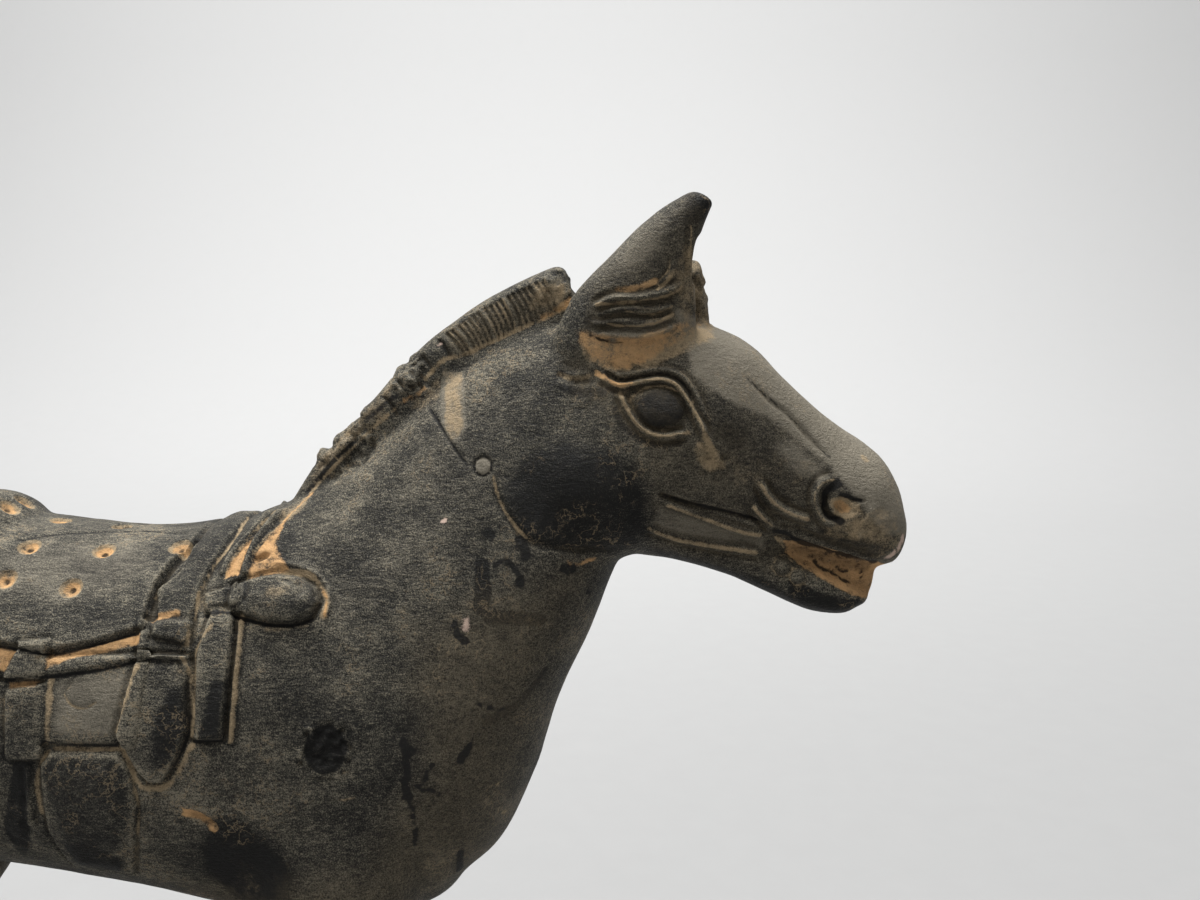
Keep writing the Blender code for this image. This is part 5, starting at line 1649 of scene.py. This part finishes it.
    def carve(self, clay: Carver, chance: Roughness3D) -> None:
        """Cuts the crack and the gouge and leaves the clay a little uneven."""
        clay.on_profile(self.crack, self.gouge, self.gouge_lip, Cut(self.disc_rim, 0.6, -0.45))
        clay.dent(Dent(self.oval, 4.4, -0.35, 0.7))
        x, z = self.oval
        clay.roughen(chance, Rough((x, -30, z), 9, 1.2, 0.55))
        clay.on_profile(*self.coronets)
        clay.height += sum(chance.read(clay.points, size) * height for size, height in self.uneven)
        clay.press()

    def paint(self, paint: Painter) -> None:
        """Lays the drips, patches and flecks, darker clay along the belly and painted highlight along the top
        of the neck and rump.
        """
        paint.on_profile(*self.on_right, *self.on_left, *self.on_both)
        paint.on_profile(*only(
            Flank.RIGHT,
            Wash(Mark.SOOT_AND_SHADE, ring(self.oval, (4.3, 5.2)), 1.4, 1.1),
            Wash(Mark.PIT_AND_SHADOW, ring(self.oval, (4.1, 5.0)), 2.6, 0.34),
            Stroke(Mark.PIT_AND_SHADOW, self.disc_rim, 0.5, 0.8),
        ))
        middle = paint.on_side(*self.disc)
        paint.spot(Mark.WORN_AND_HIGHLIGHT, middle, self.disc_radius, 1.3, 0.8, Flank.RIGHT)


@dataclass(frozen=True)
class Plinth:
    """The slab under the hooves, in metres."""

    length: float = 0.182
    width: float = 0.074
    thickness: float = BASE_THICKNESS
    edge: float = 0.0015
    edge_steps: int = 3
    long_cuts: int = 28

    def build(self) -> bpy.types.Object:
        """Makes the slab with rounded edges."""
        mesh = bmesh.new()
        bmesh.ops.create_cube(mesh, size=1)
        bmesh.ops.scale(mesh, vec=(self.length, self.width, self.thickness), verts=mesh.verts)
        bmesh.ops.translate(mesh, vec=(0, 0, self.thickness / 2), verts=mesh.verts)
        rounded = [e for e in mesh.edges if max(v.co.z for v in e.verts) > self.edge]
        bmesh.ops.bevel(mesh, geom=rounded, affect="EDGES", offset=self.edge, segments=self.edge_steps,
                        profile=0.5, material=-1)
        long_edges = [e for e in mesh.edges if e.calc_length() > self.width / 2]
        bmesh.ops.subdivide_edges(mesh, edges=long_edges, cuts=self.long_cuts, use_grid_fill=True)
        return to_object("slab", mesh)


@dataclass(frozen=True)
class Thinning:
    """How the triangles are shared out between plain clay and fine detail.

    plain_to_fine holds the change in marks from one point to the next at which clay begins and
    ceases to count as plain. Detail spreads to the points round it, fading at each turn.
    """

    plain_to_fine: Pair = (0.04, 0.3)
    spread_turns: int = 3
    fade: float = 0.85
    levels: int = 12
    level_weight: float = 0.08
    pull: float = 0.006


@dataclass(frozen=True)
class Horse:
    """The whole horse: its forms fused, carved, marked and stood on the slab."""

    trunk: Trunk = Trunk()
    head: NeckAndHead = NeckAndHead()
    hair: Hair = Hair()
    ears: Ears = Ears()
    legs: Legs = Legs()
    saddle: Saddle = Saddle()
    face: Face = Face()
    locks: Locks = Locks()
    handling: Handling = Handling()
    plinth: Plinth = Plinth()
    thinning: Thinning = Thinning()
    chance_seed: int = 7
    join_turns: float = 60.0
    even_turns: float = 5.0
    hollow_turns: float = 3.0
    hollow_depth: float = 0.26
    same_clay: float = 1.5

    def build(self) -> bpy.types.Object:
        """Makes the finished piece, in metres."""
        forms = []
        for part in (self.trunk, self.head, self.ears, self.hair, self.legs):
            forms += part.forms()
        body = self._fused([form.piece for form in forms])
        log.info("fused %d forms into %d points", len(forms), len(body.data.vertices))
        self._blend(body, forms)
        for form in forms:
            bpy.data.objects.remove(form.piece)
        clay = Carver(body)
        chance = Roughness3D(self.chance_seed)
        for work in (self.saddle, self.face, self.locks, self.handling):
            work.carve(clay, chance)
            log.info("carved %s", type(work).__name__.lower())
        clay.press(settle=1)
        paint = Painter(body)
        for work in (self.saddle, self.face, self.locks, self.handling):
            work.paint(paint)
        paint.hollows(self._turns(self.hollow_turns), self.hollow_depth)
        places = KDTree(len(paint.points))
        for i, point in enumerate(paint.points):
            places.insert(point, i)
        places.balance()
        thin = body.copy()
        thin.data = body.data.copy()
        bpy.context.scene.collection.objects.link(thin)
        self._thin(thin, paint.marks)
        figure = self._stand(thin)
        self._mark(figure, places, paint.marks)
        bpy.data.objects.remove(body)
        return figure

    def _turns(self, at_one_share: float) -> int:
        """How many turns of smoothing reach as far as that many on a grain of one share."""
        return int(at_one_share / GRAIN**2)

    def _fused(self, pieces: list[bpy.types.Object]) -> bpy.types.Object:
        """Reads all pieces as one skin of clay."""
        whole = bmesh.new()
        for piece in pieces:
            whole.from_mesh(piece.data)
        body = to_object("body", whole)
        remesh = body.modifiers.new("fuse", "REMESH")
        remesh.mode = "VOXEL"
        remesh.voxel_size = GRAIN
        apply_modifiers(body)
        return body

    def _blend(self, body: bpy.types.Object, forms: list[Form]) -> None:
        """Smooths the clay where two forms meet, each pair by the smaller blend."""
        trees = [surface_of(form.piece) for form in forms]
        longest = max(form.blend for form in forms)
        group = body.vertex_groups.new(name="joins")
        for vertex in body.data.vertices:
            near = []
            for tree, form in zip(trees, forms):
                distance = tree.find_nearest(vertex.co, form.blend)[3]
                if distance is not None:
                    near.append((distance, form.blend))
            near.sort()
            weight = 0.0
            for distance, reach in near[1:]:
                limit = min(near[0][1], reach)
                share = max(0.0, 1 - distance / limit)
                weight = max(weight, share * (limit / longest) ** 0.5)
            if weight > 0.01:
                group.add([vertex.index], min(1.0, weight), "REPLACE")
        smooth_out(body, self._turns(self.join_turns), group.name)
        smooth_out(body, self._turns(self.even_turns))
        apply_modifiers(body)

    def _thin(self, piece: bpy.types.Object, marks: dict[Mark, np.ndarray]) -> None:
        """Leaves fewer, larger triangles, smallest where the carving and the marks are.

        Args:
            piece: The horse, point for point as it was painted.
            marks: Its marks.
        """
        thinning = self.thinning
        ends = np.empty(len(piece.data.edges) * 2, int)
        piece.data.edges.foreach_get("vertices", ends)
        first, second = ends.reshape(-1, 2).T
        change = sum(np.abs(values[first] - values[second]) for values in marks.values())
        detail = np.zeros(len(piece.data.vertices))
        for _ in range(thinning.spread_turns):
            np.maximum.at(detail, first, change)
            np.maximum.at(detail, second, change)
            change = np.maximum(detail[first], detail[second]) * thinning.fade
        level = np.round(ramp(detail, *thinning.plain_to_fine) * thinning.levels).astype(int)
        group = piece.vertex_groups.new(name="plain")
        for step in range(thinning.levels + 1):
            chosen = np.flatnonzero(level == step)
            group.add(chosen.tolist(), 1.0 - step * thinning.level_weight, "REPLACE")
        count = sum(len(face.vertices) - 2 for face in piece.data.polygons)
        thin = piece.modifiers.new("thin", "DECIMATE")
        thin.ratio = TRIANGLES / count
        thin.use_collapse_triangulate = True
        thin.vertex_group = group.name
        thin.vertex_group_factor = thinning.pull
        apply_modifiers(piece)
        log.info("thinned %d triangles to %d", count, len(piece.data.polygons))

    def _stand(self, horse: bpy.types.Object) -> bpy.types.Object:
        """Brings the horse to its real size and joins the slab on."""
        for vertex in horse.data.vertices:
            x, y, z = vertex.co
            vertex.co = ((x - STANCE_CENTRE) * SHARE, y * SHARE, z * SHARE + BASE_THICKNESS)
        slab = self.plinth.build()
        join = slab.modifiers.new("join", "BOOLEAN")
        join.operation = "UNION"
        join.solver = "EXACT"
        join.object = horse
        apply_modifiers(slab)
        bpy.data.objects.remove(horse)
        slab.name = "carved_horse"
        low, high = cad_box
        for vertex in slab.data.vertices:
            for axis in range(3):
                vertex.co[axis] = min(max(vertex.co[axis], low[axis]), high[axis])
        return slab

    def _mark(self, figure: bpy.types.Object, places: KDTree,
              marks: dict[Mark, np.ndarray]) -> None:
        """Carries the marks over to the finished mesh."""
        mesh = figure.data
        found = {mark: np.zeros(len(mesh.vertices)) for mark in Mark}
        found[Mark.HOLLOW] += 0.5
        for vertex in mesh.vertices:
            x, y, z = vertex.co
            place = (x / SHARE + STANCE_CENTRE, y / SHARE, (z - BASE_THICKNESS) / SHARE)
            _, index, distance = places.find(place)
            if distance < self.same_clay:
                for mark in Mark:
                    found[mark][vertex.index] = marks[mark][index]
        for mark in Mark:
            layer = mesh.attributes.new(mark.value, "FLOAT", "POINT")
            layer.data.foreach_set("value", found[mark].astype(np.float32))


# Finishes


class Value:
    """A socket that takes part in sums."""

    def __init__(self, graph: "Graph", socket: bpy.types.NodeSocket) -> None:
        """Holds a socket of the graph."""
        self.graph = graph
        self.socket = socket

    def _math(self, operation: str, first: "Value | float", second: "Value | float") -> "Value":
        """Adds one Math node."""
        node = self.graph.node("ShaderNodeMath", {"operation": operation}, {0: first, 1: second})
        return Value(self.graph, node.outputs[0])

    def __add__(self, other: "Value | float") -> "Value":
        """Sum."""
        return self._math("ADD", self, other)

    def __radd__(self, other: float) -> "Value":
        """Sum, turned round."""
        return self._math("ADD", other, self)

    def __sub__(self, other: "Value | float") -> "Value":
        """Difference."""
        return self._math("SUBTRACT", self, other)

    def __rsub__(self, other: float) -> "Value":
        """Difference, turned round."""
        return self._math("SUBTRACT", other, self)

    def __mul__(self, other: "Value | float") -> "Value":
        """Product."""
        return self._math("MULTIPLY", self, other)

    def highest(self, other: "Value | float") -> "Value":
        """The larger of two."""
        return self._math("MAXIMUM", self, other)

    def step(self, low: float, high: float) -> "Value":
        """A smooth rise from 0 at low to 1 at high."""
        node = self.graph.node(
            "ShaderNodeMapRange",
            {"interpolation_type": "SMOOTHSTEP"},
            {"Value": self, "From Min": low, "From Max": high, "To Min": 0.0, "To Max": 1.0},
        )
        return Value(self.graph, node.outputs["Result"])


@dataclass(frozen=True)
class Grain:
    """A noise: its swells to the metre, its finer layers and how strong they are."""

    scale: float
    detail: float
    roughness: float


class Graph:
    """A material's nodes, added one at a time."""

    def __init__(self, name: str) -> None:
        """Starts a material with one Principled shader.

        Args:
            name: The material's name.
        """
        self.material = bpy.data.materials.new(name)
        self.material.use_nodes = True
        self.tree = self.material.node_tree
        self.shader = self.tree.nodes["Principled BSDF"]

    def node(self, kind: str, settings: dict | None = None,
             inputs: dict | None = None) -> bpy.types.Node:
        """Adds a node.

        Args:
            kind: The node's type.
            settings: Its properties, set before its sockets. A ramp's stops are
                given under "stops" as (place, colour).
            inputs: Values or links for its sockets, by name or number.

        Returns:
            The node.
        """
        made = self.tree.nodes.new(kind)
        for key, value in (settings or {}).items():
            if key == "stops":
                ramp_elements = made.color_ramp.elements
                while len(ramp_elements) < len(value):
                    ramp_elements.new(0.5)
                for element, (place, colour) in zip(ramp_elements, value):
                    element.position = place
                    element.color = (*colour, 1.0)
            else:
                setattr(made, key, value)
        for key, value in (inputs or {}).items():
            if isinstance(value, Value):
                self.tree.links.new(value.socket, made.inputs[key])
            else:
                made.inputs[key].default_value = value
        return made

    def places(self, stretch: tuple[float, float, float] = (1, 1, 1)) -> Value:
        """Object coordinates, stretched."""
        where = self.node("ShaderNodeTexCoord")
        turned = self.node("ShaderNodeMapping", None,
                           {"Vector": Value(self, where.outputs["Object"]), "Scale": stretch})
        return Value(self, turned.outputs["Vector"])

    def noise(self, where: Value, grain: Grain) -> Value:
        """Noise around zero, from about -0.5 to 0.5."""
        made = self.node("ShaderNodeTexNoise", {"noise_dimensions": "3D"},
                         {"Vector": where, "Scale": grain.scale, "Detail": grain.detail,
                          "Roughness": grain.roughness})
        return Value(self, made.outputs["Fac"]) - 0.5

    def mark(self, mark: Mark) -> Value:
        """A mark on the mesh."""
        made = self.node("ShaderNodeAttribute", {"attribute_name": mark.value})
        return Value(self, made.outputs["Fac"])

    def mix(self, share: Value, low: "Value | tuple", high: "Value | tuple") -> Value:
        """A colour between low and high."""
        made = self.node("ShaderNodeMix", {"data_type": "RGBA"}, {0: share, 6: low, 7: high})
        return Value(self, made.outputs[2])

    def finish(self, socket: str, value: Value) -> None:
        """Links a value to the shader."""
        self.tree.links.new(value.socket, self.shader.inputs[socket])


Colour = tuple[float, float, float, float]


@dataclass(frozen=True)
class SlippedClay:
    """Dark slip over fired clay, brushed and worn, with earth left in the carving, painted shade in its
    hollows and under its edges, and painted highlight on crests and upper surfaces.
    """

    name: str = "slipped_clay"
    black: Colour = (0.0072, 0.0068, 0.0064, 1)
    orange: Colour = (0.54, 0.32, 0.145, 1)
    ochre: Colour = (0.25, 0.155, 0.078, 1)
    tan: Colour = (0.34, 0.255, 0.152, 1)
    brown: Colour = (0.112, 0.089, 0.055, 1)
    worn: Colour = (0.215, 0.19, 0.145, 1)
    pink: Colour = (0.62, 0.46, 0.37, 1)
    slip_stops: tuple[tuple[float, tuple[float, float, float]], ...] = (
        (0.0, (0.0045, 0.0042, 0.0034)),
        (0.25, (0.016, 0.0148, 0.012)),
        (0.5, (0.046, 0.0425, 0.0335)),
        (0.75, (0.100, 0.0905, 0.0685)),
        (1.0, (0.21, 0.185, 0.135)),
    )
    swell: Grain = Grain(24, 3, 0.55)
    blot: Grain = Grain(95, 5, 0.6)
    patch: Grain = Grain(240, 4, 0.62)
    speck: Grain = Grain(900, 4, 0.66)
    grit: Grain = Grain(3600, 2, 0.7)
    brush: Grain = Grain(1900, 3, 0.65)
    rub: Grain = Grain(230, 4, 0.66)
    vein: Grain = Grain(330, 3, 0.6)
    scab: Grain = Grain(210, 5, 0.72)
    brush_stretch: tuple[float, float, float] = (0.25, 1, 1)
    rub_stretch: tuple[float, float, float] = (0.35, 1, 0.6)
    bump_strength: float = 0.75
    bump_distance: float = 0.0008
    shine: float = 0.2

    def build(self) -> bpy.types.Material:
        """Makes the material."""
        graph = Graph(self.name)
        where = graph.places()
        swell = graph.noise(where, self.swell)
        blot = graph.noise(where, self.blot)
        patch = graph.noise(where, self.patch)
        speck = graph.noise(where, self.speck)
        grit = graph.noise(where, self.grit)
        brush = graph.noise(graph.places(self.brush_stretch), self.brush)
        rub = graph.noise(graph.places(self.rub_stretch), self.rub)
        vein = graph.noise(where, self.vein)
        vein = (0.022 - vein.highest(0.0 - vein)).step(0, 0.02) * (blot + swell).step(0.02, 0.12)
        hollow = (graph.mark(Mark.HOLLOW) - 0.5) * 2.0
        scab = (graph.noise(where, self.scab) + swell * 0.35).step(0.13, 0.2)
        fine = speck * 0.5 + brush * 1.3 + grit * 2.4
        broken = 0.86 + patch * 1.9 + speck * 0.8
        # Dark patches of slip, and the painted shade that is laid with them.
        soot = graph.mark(Mark.SOOT_AND_SHADE) + swell * 0.5 + blot * 1.3 + rub * 0.6 + speck * 0.4
        soot = soot.step(0.25, 0.85)
        tone = 0.515 + swell * 0.75 + blot * 0.8 + patch * 0.25 + rub * 0.6 + fine
        # Clay lying below its smoothed self is darkened as painted shade, and crests are lightened a little.
        tone = tone - hollow * 0.28 - soot * 0.6
        slip = graph.node("ShaderNodeValToRGB", {"stops": self.slip_stops}, {"Fac": tone})
        colour = Value(graph, slip.outputs["Color"])
        brown = (graph.mark(Mark.BROWN) + blot * 0.7 + rub * 0.4 + hollow * 0.2).step(0.15, 1.0)
        colour = graph.mix(brown * (0.6 + fine * 0.7).step(0, 1) * 0.72, colour, self.brown)
        # Lighter brown-grey for wear, partly painted highlight on upper surfaces.
        worn = (graph.mark(Mark.WORN_AND_HIGHLIGHT) + blot * 0.5 + rub * 0.35 + fine * 0.12).step(0.08, 0.8)
        worn = worn * (0.74 + fine * 0.3)
        colour = graph.mix(worn, colour, self.worn)
        film = (hollow * 0.45 + blot * 0.7 + patch * 0.8 + speck * 0.3).step(0.12, 0.6)
        colour = graph.mix(film * (1.0 - soot) * 0.36, colour, self.brown)
        colour = graph.mix(vein * 0.42, colour, self.tan)
        colour = graph.mix(scab * (0.35 + soot * 0.4), colour, self.black)
        # Tan lines and patches, partly painted highlight on ridge crests.
        tan = (graph.mark(Mark.TAN) * broken + blot * 0.4 + fine * 0.1).step(0.3, 0.92)
        colour = graph.mix(tan * (0.78 + fine * 0.4), colour, self.tan)
        dust = (graph.mark(Mark.DUST) * broken + blot * 0.5 + fine * 0.1).step(0.3, 0.85)
        earth = graph.mix((speck * 0.9 + patch * 1.3 + grit * 0.5 + 0.6).step(0.1, 0.95),
                          self.ochre, self.orange)
        earth = graph.mix((graph.mark(Mark.BROWN) + patch * 0.8).step(0.5, 1.0) * 0.5, earth, self.tan)
        colour = graph.mix(dust * 0.92, colour, earth)
        # Black pits and cracks, and painted shadow lines under edges and in grooves.
        pit = (graph.mark(Mark.PIT_AND_SHADOW) * broken + speck * 0.3 + grit * 0.2).step(0.2, 0.66)
        colour = graph.mix(pit * 0.92, colour, self.black)
        chip = (graph.mark(Mark.CHIP) + speck * 0.5 + grit * 0.2).step(0.35, 0.7)
        colour = graph.mix(chip * 0.92, colour, self.pink)
        graph.finish("Base Color", colour)
        rough = 0.66 + speck * 0.3 + dust * 0.25 + tan * 0.15 - soot * 0.1
        graph.finish("Roughness", rough)
        graph.shader.inputs["Specular IOR Level"].default_value = self.shine
        height = brush * 0.5 + speck * 0.7 + grit * 0.35 + patch * 0.6 + vein * 0.08
        bump = graph.node("ShaderNodeBump", None,
                          {"Strength": self.bump_strength, "Distance": self.bump_distance,
                           "Height": height})
        graph.finish("Normal", Value(graph, bump.outputs["Normal"]))
        return graph.material


@dataclass(frozen=True)
class PaperSweep:
    """The pale seamless sheet that the figure stands on."""

    name: str = "pale_paper"
    near: Colour = (0.265, 0.265, 0.263, 1)
    far: Colour = (0.42, 0.42, 0.418, 1)
    width: float = 5.0
    front: float = -1.8
    bend: float = 0.9
    radius: float = 0.7
    top: float = 3.0
    bend_steps: int = 16
    fade: Pair = (0.1, 1.3)
    grain: Grain = Grain(60, 4, 0.6)
    roughness: float = 0.9

    def build(self) -> bpy.types.Object:
        """Makes the sheet, which runs back and then curves up."""
        profile = [(self.front, 0.0), (self.bend, 0.0)]
        for step in range(1, self.bend_steps + 1):
            turn = step / self.bend_steps * math.pi / 2
            profile.append((self.bend + self.radius * math.sin(turn),
                            self.radius * (1 - math.cos(turn))))
        profile.append((self.bend + self.radius, self.top))
        mesh = bmesh.new()
        line = [mesh.verts.new((-self.width / 2, y, z)) for y, z in profile]
        edges = [mesh.edges.new(pair) for pair in zip(line[:-1], line[1:])]
        grown = bmesh.ops.extrude_edge_only(mesh, edges=edges)["geom"]
        moved = [item for item in grown if isinstance(item, bmesh.types.BMVert)]
        bmesh.ops.translate(mesh, vec=(self.width, 0, 0), verts=moved)
        bmesh.ops.recalc_face_normals(mesh, faces=mesh.faces)
        sheet = to_object("paper_sweep", mesh)
        for face in sheet.data.polygons:
            face.use_smooth = True
        graph = Graph(self.name)
        where = graph.places()
        depth = graph.node("ShaderNodeSeparateXYZ", None, {"Vector": where}).outputs["Y"]
        share = Value(graph, depth).step(*self.fade) + graph.noise(where, self.grain) * 0.1
        graph.finish("Base Color", graph.mix(share, self.near, self.far))
        graph.shader.inputs["Roughness"].default_value = self.roughness
        sheet.data.materials.append(graph.material)
        return sheet


@dataclass(frozen=True)
class SoftLight:
    """One large soft light, aimed at the figure."""

    name: str
    place: tuple[float, float, float]
    size: Pair
    power: float
    aim: tuple[float, float, float] = (0.06, 0, 0.17)

    def build(self) -> bpy.types.Object:
        """Hangs the light."""
        data = bpy.data.lights.new(self.name, "AREA")
        data.shape = "RECTANGLE"
        data.size, data.size_y = self.size
        data.energy = self.power
        lamp = bpy.data.objects.new(self.name, data)
        lamp.location = self.place
        towards = Vector(self.aim) - Vector(self.place)
        lamp.rotation_euler = towards.to_track_quat("-Z", "Y").to_euler()
        bpy.context.scene.collection.objects.link(lamp)
        return lamp


@dataclass(frozen=True)
class Studio:
    """The sheet, the lights round the figure and the even light of the room."""

    sweep: PaperSweep = PaperSweep()
    lights: tuple[SoftLight, ...] = (
        SoftLight("overhead", (-0.2, -0.05, 1.3), (0.9, 0.7), 20),
        SoftLight("front_fill", (-0.9, -1.5, 0.7), (1.2, 1.0), 4),
        SoftLight("back_wash", (-0.1, 0.25, 1.9), (2.0, 0.8), 66, aim=(0.0, 1.5, 0.5)),
    )
    room: float = 0.22

    def build(self) -> None:
        """Makes the sheet and the lights."""
        self.sweep.build()
        for light in self.lights:
            light.build()
        world = bpy.data.worlds.new("room")
        world.use_nodes = True
        even = world.node_tree.nodes["Background"].inputs
        even["Color"].default_value = (1.0, 1.0, 1.0, 1.0)
        even["Strength"].default_value = self.room
        bpy.context.scene.world = world
        bpy.context.scene.view_settings.view_transform = "Standard"


@dataclass(frozen=True)
class Viewpoint:
    """The camera, near the figure's shoulder and a little above it."""

    place: tuple[float, float, float] = (0.11944, -0.24168, 0.23599)
    turn: float = 2.0
    dip: float = 8.0
    focal_pixels: float = 1100.0
    frame_pixels: float = 1200.0

    def build(self) -> bpy.types.Object:
        """Makes the camera and gives it to the scene."""
        data = bpy.data.cameras.new("viewpoint")
        data.sensor_width = 36.0
        data.lens = self.focal_pixels / self.frame_pixels * data.sensor_width
        data.clip_start = 0.005
        camera = bpy.data.objects.new("viewpoint", data)
        turn, dip = math.radians(self.turn), math.radians(self.dip)
        ahead = Vector((-math.sin(turn) * math.cos(dip), math.cos(turn) * math.cos(dip),
                        -math.sin(dip)))
        camera.location = self.place
        camera.rotation_euler = ahead.to_track_quat("-Z", "Y").to_euler()
        bpy.context.scene.collection.objects.link(camera)
        bpy.context.scene.camera = camera
        return camera


def main() -> None:
    """Builds the viewpoint, the studio and the horse."""
    logging.basicConfig(level=logging.INFO, format="%(message)s")
    Viewpoint().build()
    log.info("viewpoint")
    Studio().build()
    log.info("studio")
    figure = Horse().build()
    mesh = figure.data
    mesh.materials.clear()
    mesh.materials.append(SlippedClay().build())
    for face in mesh.polygons:
        face.use_smooth = True
        face.material_index = 0
    mesh.set_sharp_from_angle(angle=math.radians(SHARP_ANGLE))
    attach(figure, "root")
    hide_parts("clay_horse")
    log.info("carved_horse: %d triangles", sum(len(f.vertices) - 2 for f in mesh.polygons))


if __name__ == "__main__":
    main()
